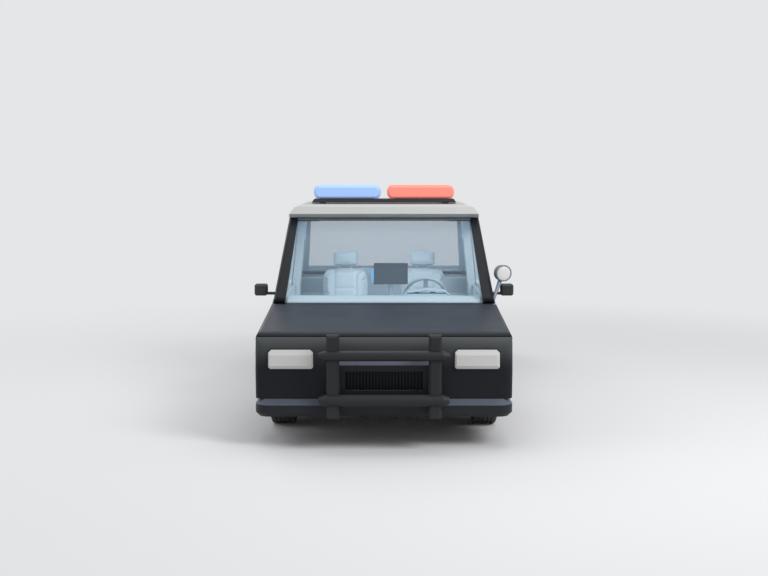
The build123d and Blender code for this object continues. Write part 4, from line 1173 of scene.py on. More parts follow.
def makePushBumperDetail():
    # bolts through the uprights' sides, where the arms meet them
    places = [((sign * x, -2.530, z), (sign * facing, 0, 0)) for sign in (1, -1)
              for facing, x in ((1, 0.4255), (-1, 0.3315)) for z in (0.292, 0.312, 0.455, 0.485)]
    makeBolts("bumperBolts", "pushSteel", 0.007, 0.006, places)


def makeSpotlightDetail():
    outward = Matrix.Rotation(math.radians(17), 4, "Z") @ Vector((0, -1, 0))
    place = alongAxis(outward, Vector((1.025, -0.950, 1.194)) + outward * 0.030)
    lens = [(-0.004, 0.060), (0.002, 0.061), (0.006, 0.052), (0.0085, 0.030), (0.0095, 0)]
    rim = [(-0.010, 0.0695), (0.0, 0.0715), (0.006, 0.0705), (0.0065, 0.0625), (0.0, 0.0605)]
    makePiece("spotlightLens", "clearLens", lathe(lens, place, 48))
    makePiece("spotlightRim", "lampMetal", lathe(rim, place, 48))


makeHeadlampDetail()
makeTailLampDetail()
makeLightBarDetail()
makePushBumperDetail()
# louvres in the strip between hood and screen
makeRow("cowlLouvres", "blackTrim", (0.006, 0.026, 0.004, 0.001), 74, (-0.803, -1.167, 0.9500), (0.022, 0, 0))
makeSpotlightDetail()


# Seats: padded pieces puffed by a cloth simulation, then sewn channels, piping and stitches

seat = {
    "x": 0.380, "voxel": 0.009, "wideVoxel": 0.0126, "pressure": 4.0, "frames": 20, "quality": 4,
    "cap": 0.024,
    "channelDeep": 0.009, "channelWide": 0.012, "acrossHalf": 0.105, "pipe": 0.0035, "stitchStep": 0.011,
    "stitchIn": {"edge": (0.009,), "channel": (-0.008, 0.008)}, "fill": 0.7,
}
cushions = {
    "frontCushion": {"half": (0.245, 0.275, 0.060), "place": ((0.380, 0.060, 0.500), 4.0), "bolster": 0.020,
                     "channels": (-0.105, 0.105), "across": (0.03, 0.15)},
    "frontBack": {"half": (0.240, 0.290, 0.055), "place": ((0.380, 0.425, 0.850), 73.5), "bolster": 0.022,
                  "channels": (-0.105, 0.105), "across": (-0.10, 0.06)},
    "frontHeadrest": {"half": (0.120, 0.070, 0.048), "place": ((0.380, 0.525, 1.212), 76.0), "bolster": 0.0,
                      "channels": (), "across": ()},
    "rearCushion": {"half": (0.630, 0.210, 0.075), "place": ((0.0, 1.045, 0.560), 5.0), "bolster": 0.0,
                    "channels": (-0.30, 0.0, 0.30), "across": ()},
    "rearBack": {"half": (0.630, 0.225, 0.055), "place": ((0.0, 1.345, 0.850), 75.0), "bolster": 0.0,
                 "channels": (-0.30, 0.0, 0.30), "across": ()},
}


def cushionStart(spec):
    # a crowned slab whose edges and corners are rounded, in the cushion's own directions
    bm = bmesh.new()
    bmesh.ops.create_cube(bm, size=2.0)
    bmesh.ops.subdivide_edges(bm, edges=bm.edges[:], cuts=15, use_grid_fill=True)
    hx, hy, hz = spec["half"]
    power = 5.0
    for vert in bm.verts:
        u, v, w = vert.co
        reach = max((abs(u) ** power + abs(v) ** power + abs(w) ** 3.0) ** (1 / power), 1e-6)
        u, v, w = u / reach, v / reach, w / reach
        crown = 1.0 + 0.22 * (1 - u * u) * (1 - v * v)
        vert.co = (u * hx, v * hy, w * hz * crown)
        if spec["bolster"] and w > 0:
            vert.co.z += spec["bolster"] * max(abs(u) - 0.55, 0) / 0.45 * min(w, 1)
    return bm


def applied(piece):
    # the piece's mesh with its modifiers worked in
    depsgraph = bpy.context.evaluated_depsgraph_get()
    mesh = bpy.data.meshes.new_from_object(piece.evaluated_get(depsgraph), depsgraph=depsgraph)
    piece.modifiers.clear()
    piece.data = mesh
    return mesh


def puff(piece, voxel):
    # remesh, inflate as cloth with gravity off, and cap how far a point moves
    remesh = piece.modifiers.new("remesh", "REMESH")
    remesh.mode, remesh.voxel_size = "VOXEL", voxel
    mesh = applied(piece)
    start = [vert.co.copy() for vert in mesh.vertices]
    cloth = piece.modifiers.new("puff", "CLOTH")
    cloth.settings.use_pressure = True
    cloth.settings.uniform_pressure_force = seat["pressure"]
    cloth.settings.effector_weights.gravity = 0.0
    cloth.settings.quality = seat["quality"]
    cloth.point_cache.frame_start, cloth.point_cache.frame_end = 1, seat["frames"]
    for number in range(1, seat["frames"] + 1):
        scene.frame_set(number)
    depsgraph = bpy.context.evaluated_depsgraph_get()
    swollen = [vert.co.copy() for vert in piece.evaluated_get(depsgraph).data.vertices]
    piece.modifiers.clear()
    scene.frame_set(1)
    for vert, before, after in zip(mesh.vertices, start, swollen):
        move = after - before
        vert.co = before + move * min(1.0, seat["cap"] / max(move.length, 1e-9))


def sewChannels(piece, spec):
    # the sewn lines pull the cover down along and across the pad
    for vert in piece.data.vertices:
        x, y, z = vert.co
        if z < 0:
            continue
        depth = max([math.exp(-((x - line) / seat["channelWide"]) ** 2) for line in spec["channels"]],
                    default=0)
        if abs(x) < seat["acrossHalf"]:
            for line in spec["across"]:
                depth = max(depth, 0.8 * math.exp(-((y - line) / seat["channelWide"]) ** 2))
        fade = min(1.0, max(0.0, (spec["half"][1] * 0.97 - abs(y)) / 0.03))
        vert.co.z -= seat["channelDeep"] * depth * fade


def seamLines(spec):
    # the channels, then the seam round the pad's face, each as (across, along) points
    hx, hy = (half * 0.90 for half in spec["half"][:2])
    lines = [("channel", [(line, spec["half"][1] * (-0.93 + 1.86 * k / 30)) for k in range(31)])
             for line in spec["channels"]]
    edge = []
    for k in range(90):
        a, b = math.cos(2 * math.pi * k / 90), math.sin(2 * math.pi * k / 90)
        edge.append((hx * math.copysign(abs(a) ** 0.35, a), hy * math.copysign(abs(b) ** 0.35, b)))
    return lines + [("edge", edge)]


def sewSeams(piece, spec):
    # piping round the edge, and a stitch every few millimetres beside each seam, in the pad's own directions
    shape = bmesh.new()
    shape.from_mesh(piece.data)
    tree = BVHTree.FromBMesh(shape)
    shape.free()
    pipes, stitches = [], []
    for kind, line in seamLines(spec):
        hits = [tree.ray_cast(Vector((u, v, 0.3)), Vector((0, 0, -1)))[0] for u, v in line]
        path = [hit for hit in hits if hit is not None]
        if kind == "edge":
            pipes.append(sweep(path, roundSection(seat["pipe"], 8), closed=True))
        for shift in seat["stitchIn"][kind]:
            run = 0.0
            for first, second in zip(path[:-1], path[1:]):
                along = second - first
                run += along.length
                if run >= seat["stitchStep"]:
                    run = 0.0
                    side = along.cross(Vector((0, 0, 1))).normalized() * shift
                    stitches.append((tree.find_nearest(first + side)[0], along.normalized()))
    return pipes, stitches


def makeCushion(name, spec):
    mesh = bpy.data.meshes.new(name)
    bm = cushionStart(spec)
    bm.to_mesh(mesh)
    bm.free()
    piece = bpy.data.objects.new(name, mesh)
    scene.collection.objects.link(piece)
    puff(piece, seat["voxel"] if name.startswith("front") else seat["wideVoxel"])
    sewChannels(piece, spec)
    pipes, stitches = sewSeams(piece, spec)
    centre, tilt = spec["place"]
    place = upright(*centre) @ Matrix.Rotation(math.radians(tilt), 4, "X")
    piece.data.transform(place)
    piece.data.update()
    smooth = piece.modifiers.new("smooth", "SUBSURF")
    smooth.levels = smooth.render_levels = 1
    final = applied(piece)
    final.materials.clear()
    final.materials.append(materials["seatCloth"])
    final.polygons.foreach_set("use_smooth", [True] * len(final.polygons))
    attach(piece, "body")

    def carry(bm):
        bmesh.ops.transform(bm, matrix=place, verts=bm.verts)
    makePiece(f"{name}Piping", "seatVinyl", *pipes, carry)
    thread = [(-0.0035, 0.0), (-0.0030, 0.0007), (0.0030, 0.0007), (0.0035, 0.0)]
    places = [(tuple(place @ spot), tuple(place.to_3x3() @ direction)) for spot, direction in stitches]
    repeated(f"{name}Stitches", "seamThread", "points", [lathe(thread, upright(0, 0, 0), 5)], places=places)
    return piece


def mirrorPiece(name):
    # the same piece on the other seat
    piece = bpy.data.objects[name]
    shape = bmesh.new()
    shape.from_mesh(piece.data)
    bmesh.ops.transform(shape, matrix=Matrix.Diagonal((-1, 1, 1, 1)), verts=shape.verts)
    bmesh.ops.reverse_faces(shape, faces=shape.faces)
    mesh = bpy.data.meshes.new(f"{name}Right")
    shape.to_mesh(mesh)
    shape.free()
    mesh.materials.append(piece.data.materials[0])
    mesh.polygons.foreach_set("use_smooth", [True] * len(mesh.polygons))
    twin = bpy.data.objects.new(f"{name}Right", mesh)
    scene.collection.objects.link(twin)
    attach(twin, "body")
    return twin


def makeSeatFrame(sideName, x):
    runners = []
    for middle in (x - 0.16, x + 0.16):
        runners += [box((middle - 0.018, -0.19, 0.263), (middle + 0.018, 0.33, 0.292), 0.004),
                    box((middle - 0.012, -0.16, 0.290), (middle + 0.012, 0.30, 0.330), 0.003)]
    hinges = [box((middle - 0.014, 0.24, 0.375), (middle + 0.014, 0.42, 0.52), 0.012, 3)
              for middle in (x - 0.225, x + 0.225)]
    makePiece(f"seatFrame_{sideName}", "darkPlastic", *runners,
              box((x - 0.215, -0.19, 0.330), (x + 0.215, 0.33, 0.425), 0.020, 3), *hinges)
    posts = [[(middle, 0.500, 1.09), (middle, 0.523, 1.18)] for middle in (x - 0.055, x + 0.055)]
    makePiece(f"headrestPosts_{sideName}", "chrome",
              *[sweep(post, roundSection(0.006, 12), up=(0, 1, 0)) for post in posts])


for cushionName, cushionSpec in cushions.items():
    cushion = makeCushion(cushionName, cushionSpec)
    if cushionName.startswith("front"):
        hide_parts("front_seats")
        mirrorPiece(cushionName)
        mirrorPiece(f"{cushionName}Piping")
        mirrorPiece(f"{cushionName}Stitches")
    else:
        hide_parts("rear_seat")
    print("cushion made:", cushionName)
for sideName, sign in sides.items():
    makeSeatFrame(sideName, sign * seat["x"])
makePiece("rearSeatBase", "seatVinyl", box((-0.62, 0.855, 0.435), (0.62, 0.980, 0.520), 0.012, 3),
          box((-0.62, 0.985, 0.502), (0.62, 1.30, 0.530), 0.008),
          box((-0.615, 1.395, 0.505), (0.615, 1.436, 1.02), 0.012, 3))


# Cabin: dash, console, terminal, belts, pedals, headliner and mats

dash = {
    "ventX": (-0.72, -0.13, 0.13, 0.72), "faceY": -0.566, "binnacleX": 0.380, "binnacleHalf": 0.190,
    "gloveX": (-0.66, -0.26), "radioX": (-0.085, 0.085), "dialY": -0.573, "dialZ": 0.930,
    "dials": ((-0.085, 0.056, 150), (0.055, 0.056, 190), (0.142, 0.026, 90), (-0.160, 0.020, 60)),
    "hood": ((-0.205, 0.900), (-0.200, 0.975), (-0.165, 1.008), (0, 1.022), (0.165, 1.008), (0.200, 0.975),
             (0.205, 0.900)),
    "hoodSection": ((0.004, -0.105), (0.004, 0.060), (0.0, 0.066), (-0.005, 0.060), (-0.005, -0.105)),
}
steering = {"centre": Vector((0.380, -0.330, 0.930)), "tilt": math.radians(25), "reach": 0.185,
            "grip": 0.0157,
            "steps": 96, "stalks": ((0.150, 0.010), (-0.165, 0.035))}
belt = {"y": 0.193, "half": 0.023, "thick": 0.0014,
        "line": ((0.7505, 1.440), (0.7712, 1.250), (0.7955, 1.020), (0.8025, 0.950), (0.8035, 0.600),
                 (0.8035, 0.330)),
        "guides": ((0.7500, 0.032, 1.445, 0.019), (0.8010, 0.030, 0.325, 0.022),
                    (0.8010, 0.026, 0.650, 0.028))}
pedals = {"brakePedal": (0.380, 0.055, 0.045), "throttlePedal": (0.500, 0.028, 0.080)}
archCover = {"reach": 0.4455, "middle": 0.7745, "half": 0.127, "thick": 0.004,
             "cheek": (0.6475, 0.6515), "foot": 0.500}
tunnel = {"foot": (0.1465, 0.265), "top": (0.1055, 0.4005), "run": (-1.085, 0.980), "thick": 0.004}
mats = {"x": 0.46, "half": 0.235, "runs": {"front": (-0.98, -0.36, 24), "rear": (0.42, 0.83, 15)}}


def dialParts(centre, radius, needle):
    # a plain round gauge facing the driver: its bezel, and its marks with the needle
    place = alongAxis((0, 1, 0.12), centre)
    bezel = [(0, radius * 1.12), (0.010, radius * 1.12), (0.012, radius * 1.06), (0.006, radius),
             (0.003, radius), (0.003, 0)]
    marks = []
    for k in range(21):
        turn = place @ Matrix.Rotation(math.radians(-225 + 270 * k / 20), 4, "Z")
        long = 0.16 if k % 5 == 0 else 0.09
        marks.append(box((radius * (0.92 - long), -0.0008, 0.0032), (radius * 0.92, 0.0008, 0.0040),
                         turn=turn))
    turn = place @ Matrix.Rotation(math.radians(needle), 4, "Z")
    marks.append(box((-radius * 0.14, -0.0011, 0.0046), (radius * 0.78, 0.0011, 0.0056), turn=turn))
    return lathe(bezel, place, 40), marks


def makeBinnacle():
    x, half = dash["binnacleX"], dash["binnacleHalf"]
    makePiece("binnacle", "softPlastic",
              box((x - half, -0.700, 0.875), (x + half, -0.575, 0.985), 0.014, 3),
              sweep([(x + across, -0.60, z) for across, z in dash["hood"]], dash["hoodSection"],
                    up=(0, 1, 0)))
    dials = [dialParts((x + across, dash["dialY"], dash["dialZ"]), radius, needle)
             for across, radius, needle in dash["dials"]]
    makePiece("dials", "dialFace", *[bezel for bezel, marks in dials])
    makePiece("dialMarks", "dialMark", *[mark for bezel, marks in dials for mark in marks])


def makeDash():
    y, frames = dash["faceY"], []
    for k, x in enumerate(dash["ventX"]):
        low, high = (y + 0.004, 0.778), (y + 0.012, 0.842)
        corners = [(x - 0.062, *low), (x + 0.062, *low), (x + 0.062, *high), (x - 0.062, *high)]
        frames.append(sweep(roundedPath(corners, 0.010, 4), stripSection(0.010, 0.010), closed=True,
                            up=(0, 1, 0)))
        makeRow(f"ventSlats_{k}", "darkPlastic", (0.112, 0.022, 0.0022, 0.0006), 6, (x, y + 0.004, 0.784),
                (0, 0.001, 0.0105))
    makePiece("ventFrames", "darkPlastic", *frames)
    x0, x1 = dash["gloveX"]
    middle = (x0 + x1) / 2
    makePiece("gloveBox", "softPlastic", box((x0, -0.588, 0.700), (x1, -0.562, 0.765), 0.006, 3),
              box((middle - 0.035, -0.566, 0.738), (middle + 0.035, -0.553, 0.754), 0.004))
    x0, x1 = dash["radioX"]
    knob = [(0, 0.011), (0.010, 0.010), (0.016, 0.009), (0.017, 0)]
    makePiece("radio", "darkPlastic", box((x0, -0.600, 0.700), (x1, -0.562, 0.765), 0.004),
              *[lathe(knob, alongAxis((0, 1, 0), (x, -0.564, 0.733)), 24) for x in (x0 + 0.018, x1 - 0.018)])
    makeRow("radioButtons", "keyPlastic", (0.011, 0.006, 0.007, 0.0012), 6, (-0.040, -0.561, 0.715),
            (0.016, 0, 0))


def makeConsoleTop():
    makePiece("consoleTop", "softPlastic", box((-0.088, -0.54, 0.518), (0.088, -0.30, 0.545), 0.008, 3),
              box((-0.080, 0.02, 0.516), (0.080, 0.24, 0.560), 0.018, 4))
    cup = [(0.0, 0.040), (0.006, 0.040), (0.008, 0.036), (0.004, 0.033), (0.001, 0.032), (0.001, 0)]
    makePiece("cupHolders", "darkPlastic",
              *[lathe(cup, upright(-0.042, y, 0.520), 32) for y in (-0.22, -0.12)])
    for row in range(3):
        makeRow(f"sirenButtons_{row}", "keyPlastic", (0.016, 0.012, 0.008, 0.002), 5,
                (-0.060, -0.50 + row * 0.028, 0.547), (0.022, 0, 0))


def makeTerminalDetail():
    low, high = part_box("terminal")
    # the screen glows as a display; the strip beside the case's left edge takes the same glowing finish though
    # it is no display, a painted glow
    makePiece("terminalScreen", "screenGlow",
              box((low.x + 0.016, -0.5172, 1.078), (high.x - 0.016, -0.5152, high.z - 0.014), 0.0008),
              box((low.x - 0.020, -0.523, 1.082), (low.x + 0.001, -0.517, 1.190), 0.0015))
    barrel = [(-0.022, 0.0), (-0.022, 0.007), (0.022, 0.007), (0.022, 0.0)]
    hinges = [low.x + (high.x - low.x) * share for share in (0.25, 0.75)]
    makePiece("terminalHinges", "darkPlastic",
              *[lathe(barrel, alongAxis((1, 0, 0), (x, -0.515, 1.091)), 16) for x in hinges],
              slot="terminal_case")
    for row in range(5):
        makeRow(f"terminalKeys_{row}", "keyPlastic", (0.0135, 0.0135, 0.004, 0.0010), 14,
                (low.x + 0.042, -0.490 + row * 0.0165, 1.0885), (0.0170, 0, 0), slot="terminal_case")


def makeSteeringDetail():
    centre, tilt = steering["centre"], steering["tilt"]
    outward = Vector((0, math.cos(tilt), math.sin(tilt)))
    place = alongAxis(outward, centre)
    pad = [(0.016, 0.056), (0.030, 0.054), (0.038, 0.046), (0.042, 0.030), (0.043, 0)]
    makePiece("hornPad", "softPlastic", lathe(pad, place, 40), body="steering_wheel")
    path = [place @ Vector((a, b, 0)) for a, b in roundSection(steering["reach"], steering["steps"])]
    makePiece("wheelGrip", "wheelRim",
              sweep(path, roundSection(steering["grip"], 16), closed=True, up=tuple(outward)),
              body="steering_wheel")
    knob = [(-0.012, 0), (-0.010, 0.008), (0.014, 0.009), (0.018, 0)]
    root, stalks = centre - outward * 0.075, []
    for reach, drop in steering["stalks"]:
        bend, tip = root + Vector((reach * 0.8, 0.015, drop)), root + Vector((reach, 0.020, drop * 1.4))
        stalks += [tube([root, bend, tip], 0.0055, 0.03, 12), lathe(knob, alongAxis((1, 0, 0), tip), 14)]
    makePiece("columnStalks", "wheelRim", *stalks)


def makeBelts():
    # a shoulder belt down each centre pillar, with its guide, buckle and anchor
    y = belt["y"]
    for sideName, sign in sides.items():
        points = [(sign * x, y, z) for x, z in belt["line"]]
        makePiece(f"belt_{sideName}", "beltWebbing",
                  sweep(points, flatSection(belt["half"], 0, belt["thick"]), up=(-sign, 0, 0)))
        makePiece(f"beltGuides_{sideName}", "softPlastic",
                  *[box((sign * x - 0.008, y - wide, z - tall), (sign * x + 0.008, y + wide, z + tall),
                        0.005, 3)
                    for x, wide, z, tall in belt["guides"]])


def makePedals():
    for name, (x, wide, high) in pedals.items():
        arm = [(x, -1.020, 0.640), (x, -1.000, 0.500), (x, -0.955, 0.400)]
        makePiece(f"{name}Arm", "chassisSteel", sweep(arm, stripSection(0.016, 0.008), up=(0, 1, 0)))
        turn = turned("X", -28, (x, -0.945, 0.390))
        ribs = [0.390 - high * 0.7 + high * 1.4 * k / 4 for k in range(5)]
        makePiece(name, "rubberSeal",
                  box((x - wide, -0.952, 0.390 - high), (x + wide, -0.938, 0.390 + high), 0.004, 2, turn),
                  *[box((x - wide * 0.85, -0.940, z - 0.003), (x + wide * 0.85, -0.935, z + 0.003),
                        0.001, 1, turn)
                    for z in ribs])


def archCoverParts(first, last):
    # a cover over the rear wheelhouse between two angles, with its flat cheek towards the middle of the car
    arc, ups, reach = [], [], archCover["reach"]
    for k in range(13):
        angle = math.radians(first + (last - first) * k / 12)
        up = (0, reach * math.cos(angle), reach * math.sin(angle))
        ups.append(up)
        arc.append((archCover["middle"], axles["rear"] + up[1], wheelHeight + up[2]))
    cheek = [(-y, z) for _, y, z in arc] + [(-arc[k][1], archCover["foot"]) for k in (-1, 0)]
    return [sweep(arc, flatSection(archCover["half"], 0, archCover["thick"]), up=ups),
            sweep([(x, 0, 0) for x in archCover["cheek"]], cheek)]


def makeCarpets():
    sheets = [box((sign * 0.47 - 0.31, -1.07, 0.2625), (sign * 0.47 + 0.31, 0.975, 0.2725), 0.003)
              for sign in (1, -1)]
    sheets.append(box((-0.62, 1.0, 0.501), (0.62, 1.43, 0.505), 0.001))
    (footX, footZ), (topX, topZ), thick = tunnel["foot"], tunnel["top"], tunnel["thick"]
    over = [(-footX, footZ), (-topX, topZ), (topX, topZ), (footX, footZ)]
    skin = [(x + math.copysign(thick, x), z + thick) for x, z in reversed(over)]
    makePiece("carpets", "carpet", *sheets, sweep([(0, y, 0) for y in tunnel["run"]], over + skin),
              slot="interior_plastic")


def makeMats():
    half = mats["half"]
    makePiece("floorMats", "rubberSeal",
              *[box((x - half, start, 0.2725), (x + half, end, 0.2795), 0.003)
                for x in (mats["x"], -mats["x"]) for start, end, _ in mats["runs"].values()])
    for sideName, sign in sides.items():
        for tag, (start, _, count) in mats["runs"].items():
            makeRow(f"matRibs_{tag}_{sideName}", "rubberSeal", (0.420, 0.006, 0.004, 0.001), count,
                    (sign * mats["x"], start + 0.025, 0.2805), (0, 0.025, 0))


def makeCabinLining():
    makePiece("headliner", "headliner", box((-0.768, -0.155, 1.628), (0.768, 1.165, 1.638), 0.004))
    makePiece("domeLamp", "clearLens", box((-0.055, 0.36, 1.612), (0.055, 0.46, 1.630), 0.008, 3))
    makePair("rearQuarterTrim", "softPlastic", box((0.641, 1.395, 0.789), (0.893, 1.437, 0.945), 0.012, 3),
             *archCoverParts(158, 92))
    makePair("bootSideMat", "carpet", *archCoverParts(88, 22))
    makePair("pillarTrim", "softPlastic", box((0.806, 0.146, 0.300), (0.846, 0.240, 0.990), 0.006, 3))
    makeCarpets()
    makeMats()


makeBinnacle()
makeDash()
makeConsoleTop()
makeTerminalDetail()
makeSteeringDetail()
makeBelts()
makePedals()
makeCabinLining()
print("cabin furnished")


# Engine bay: covers, air cleaner, cooling, drive belt, battery, brake servo and wiring

bay = {
    "coverX": (0.105, 0.262), "coverY": (-1.965, -1.285), "cleaner": (0.0, -1.620, 0.796),
    "cleanerRadius": 0.190,
    "fan": (0.0, -2.150, 0.600), "beltY": -2.072, "fins": 40, "blades": 6,
    "pulleys": {"crank": (0.0, 0.425, 0.082), "fan": (0.0, 0.600, 0.062),
                "alternator": (0.352, 0.705, 0.036)},
}
filler = [(0, 0.016), (0.010, 0.016), (0.011, 0.024), (0.020, 0.024), (0.022, 0.020), (0.022, 0)]
washerNeck = [(0, 0.018), (0.010, 0.018), (0.011, 0.026), (0.022, 0.026), (0.024, 0.020), (0.024, 0)]
alternatorBody = [(0, 0.030), (0.004, 0.050), (0.020, 0.052), (0.040, 0.049), (0.090, 0.049), (0.120, 0.046),
                  (0.128, 0.02), (0.128, 0)]
servoBody = [(0, 0.070), (0.012, 0.092), (0.040, 0.095), (0.046, 0.099), (0.052, 0.095), (0.075, 0.086),
             (0.092, 0.045), (0.096, 0.026), (0.200, 0.023), (0.204, 0)]
hoseRuns = [
    ([(0.295, -2.300, 0.742), (0.285, -2.215, 0.775), (0.215, -2.130, 0.806), (0.090, -2.050, 0.822),
      (0.060, -1.975, 0.812)], 0.019, 0.04),
    ([(-0.295, -2.300, 0.420), (-0.290, -2.230, 0.420), (-0.150, -2.110, 0.500), (-0.120, -2.040, 0.520)],
     0.020, 0.04),
    ([(-0.240, -1.105, 0.740), (-0.240, -1.180, 0.790), (-0.180, -1.270, 0.835), (-0.070, -1.330, 0.826),
      (-0.050, -1.400, 0.812)], 0.010, 0.03),
]
cableRuns = [
    ([(0.455, -2.125, 0.782), (0.455, -2.060, 0.786), (0.300, -1.960, 0.740), (0.283, -1.900, 0.700)],
     0.006, 0.03),
    ([(0.575, -2.125, 0.782), (0.575, -2.060, 0.786), (0.600, -1.990, 0.770), (0.600, -1.950, 0.720)],
     0.006, 0.03),
    ([(-0.640, -1.120, 0.800), (-0.610, -1.122, 0.850), (0.610, -1.122, 0.850), (0.640, -1.120, 0.800)],
     0.009, 0.03),
]


def makeEngineTop():
    (x0, x1), (y0, y1), r = bay["coverX"], bay["coverY"], bay["cleanerRadius"]
    ribs = [y0 + 0.07 + (y1 - y0 - 0.14) * k / 6 for k in range(7)]
    makePair("rockerCover", "paintedSteel", box((x0, y0, 0.792), (x1, y1, 0.838), 0.014, 3),
             *[box((x0 + 0.018, y - 0.006, 0.834), (x1 - 0.018, y + 0.006, 0.843), 0.003) for y in ribs])
    runners = [y0 + 0.13 + 0.14 * k for k in range(4)]
    makePiece("intake", "castMetal", box((-0.088, y0 + 0.02, 0.792), (0.088, y1 - 0.02, 0.812), 0.008),
              *[box((-0.110, y - 0.026, 0.790), (0.110, y + 0.026, 0.806), 0.010) for y in runners])
    pan = [(0, 0.10), (0.006, r - 0.012), (0.010, r), (0.014, r), (0.016, r - 0.006), (0.046, r - 0.006),
           (0.048, r), (0.052, r), (0.058, r - 0.010), (0.060, 0.03), (0.063, 0.028), (0.063, 0.0)]
    snout = easedPath([(-0.10, -1.74, 0.826), (-0.30, -1.98, 0.826), (-0.33, -2.16, 0.806)], 0.08)
    makePiece("airCleaner", "blackTrim", lathe(pan, upright(*bay["cleaner"]), 56),
              sweep(snout, stripSection(0.074, 0.034, 0.25)))
    places = [((sign * (x0 + 0.012), y0 + 0.04 + (y1 - y0 - 0.08) * k / 4, 0.8365), (0, 0, 1))
              for sign in (1, -1) for k in range(5)]
    places.append(((0.0, -1.620, 0.8585), (0, 0, 1)))
    makeBolts("engineBolts", "brightSteel", 0.0055, 0.007, places, slot="cast_metal")


def makeBeltDrive():
    y, wheels, rim = bay["beltY"], [], []
    for x, z, r in bay["pulleys"].values():
        groove = [(0, r * 0.4), (0, r + 0.005), (0.003, r + 0.005), (0.005, r), (0.017, r),
                  (0.019, r + 0.005), (0.022, r + 0.005), (0.022, r * 0.82), (0.012, r * 0.70),
                  (0.012, r * 0.30), (0.024, r * 0.26), (0.024, 0)]
        wheels.append(lathe(groove, alongAxis((0, -1, 0), (x, y + 0.010, z)), 36))
        rim += [(x + a, z + b) for a, b in roundSection(r + 0.002, 36)]
    makePiece("pulleys", "brightSteel", *wheels, slot="cast_metal")
    path = [(rim[k][0], y - 0.001, rim[k][1]) for k in convex_hull_2d(rim)]
    makePiece("driveBelt", "hoseRubber",
              sweep(path, flatSection(0.0045, -0.005, 0.005), closed=True, up=(0, 1, 0)))
    x, z, _ = bay["pulleys"]["alternator"]
    makePiece("alternator", "castMetal", lathe(alternatorBody, alongAxis((0, 1, 0), (x, y + 0.012, z)), 32),
              box((0.275, -2.050, 0.690), (0.345, -2.035, 0.720), 0.004))


def makeCooling():
    centre = Vector(bay["fan"])
    hub = [(0, 0.030), (0.012, 0.060), (0.030, 0.060), (0.040, 0.040), (0.046, 0)]
    blade, blades = centre + Vector((0, 0, 0.120)), []
    for k in range(bay["blades"]):
        turn = turned("Y", 360 / bay["blades"] * k, centre) @ turned("Z", 32, blade)
        blades.append(box((blade.x - 0.034, blade.y - 0.0015, blade.z - 0.066),
                          (blade.x + 0.034, blade.y + 0.0015, blade.z + 0.062), 0.001, 1, turn))
    makePiece("coolingFan", "brightSteel",
              lathe(hub, alongAxis((0, -1, 0), centre + Vector((0, 0.020, 0))), 30),
              lathe([(0, 0.022), (0.045, 0.022)],
                    alongAxis((0, -1, 0), (centre.x, bay["beltY"] - 0.005, centre.z)), 20),
              *blades, slot="cast_metal")
    shroud = [(0, 0.250), (0.004, 0.250), (0.012, 0.205), (0.085, 0.200), (0.085, 0.196),
              (0.010, 0.198), (0, 0.225)]
    makePiece("fanShroud", "blackTrim", lathe(shroud, alongAxis((0, 1, 0), (0, -2.268, 0.600)), 56))
    makePiece("radiator", "chassisSteel", box((-0.300, -2.325, 0.370), (0.300, -2.292, 0.790), 0.002, 1),
              *[box((x - 0.020, -2.332, 0.362), (x + 0.020, -2.285, 0.796), 0.010, 3)
                for x in (0.318, -0.318)],
              lathe(filler, upright(-0.318, -2.308, 0.790), 24))
    makeRow("radiatorFins", "brightSteel", (0.590, 0.006, 0.0025, 0.0006), bay["fins"], (0, -2.2895, 0.376),
            (0, 0, 0.0104), slot="chassis_steel")
    makePiece("slamPanel", "blackPaint", box((-0.860, -2.352, 0.778), (0.860, -2.286, 0.793), 0.005))
    makePiece("hoses", "hoseRubber", *[tube(*run) for run in hoseRuns])


def makeBayBoxes():
    # battery on the left, washer bottle on the right, brake servo on the bulkhead
    makePiece("battery", "batteryCase", box((0.425, -2.275, 0.575), (0.605, -2.100, 0.748), 0.006),
              box((0.420, -2.280, 0.744), (0.610, -2.095, 0.766), 0.006))
    post, posts = [(0, 0.012), (0.010, 0.012), (0.012, 0.009), (0.026, 0.008), (0.027, 0)], []
    for x in (0.455, 0.575):
        posts += [lathe(post, upright(x, -2.125, 0.764), 18),
                  box((x - 0.014, -2.142, 0.776), (x + 0.014, -2.108, 0.787), 0.003)]
    makePiece("batteryPosts", "brightSteel", *posts)
    makePiece("wiring", "hoseRubber", *[tube(*run) for run in cableRuns])
    makePiece("bayTrays", "chassisSteel", box((0.405, -2.295, 0.560), (0.625, -2.080, 0.576), 0.004),
              box((0.440, -2.220, 0.325), (0.480, -2.160, 0.562), 0.003),
              box((-0.625, -2.295, 0.560), (-0.425, -2.110, 0.572), 0.004),
              box((-0.480, -2.220, 0.325), (-0.440, -2.160, 0.562), 0.003))
    makePiece("washerBottle", "bottlePlastic",
              box((-0.605, -2.280, 0.572), (-0.445, -2.130, 0.748), 0.018, 3))
    makePiece("washerCap", "blackTrim", lathe(washerNeck, upright(-0.525, -2.205, 0.742), 24))
    makePiece("brakeServo", "castMetal", lathe(servoBody, alongAxis((0, -1, 0), (0.400, -1.109, 0.700)), 44))
    makePiece("brakeReservoir", "bottlePlastic",
              box((0.374, -1.300, 0.716), (0.426, -1.215, 0.762), 0.008, 3),
              *[lathe([(0, 0.016), (0.012, 0.016), (0.013, 0)], upright(0.400, y, 0.760), 20)
                for y in (-1.280, -1.238)])


hoodSkin = {"frontY": -2.400, "frontTop": 0.862, "thick": 0.0252, "slope": 0.0712}


def hoodUnder(y):
    # the height of the hood's lower face
    return hoodSkin["frontTop"] + hoodSkin["slope"] * (y - hoodSkin["frontY"]) - hoodSkin["thick"]


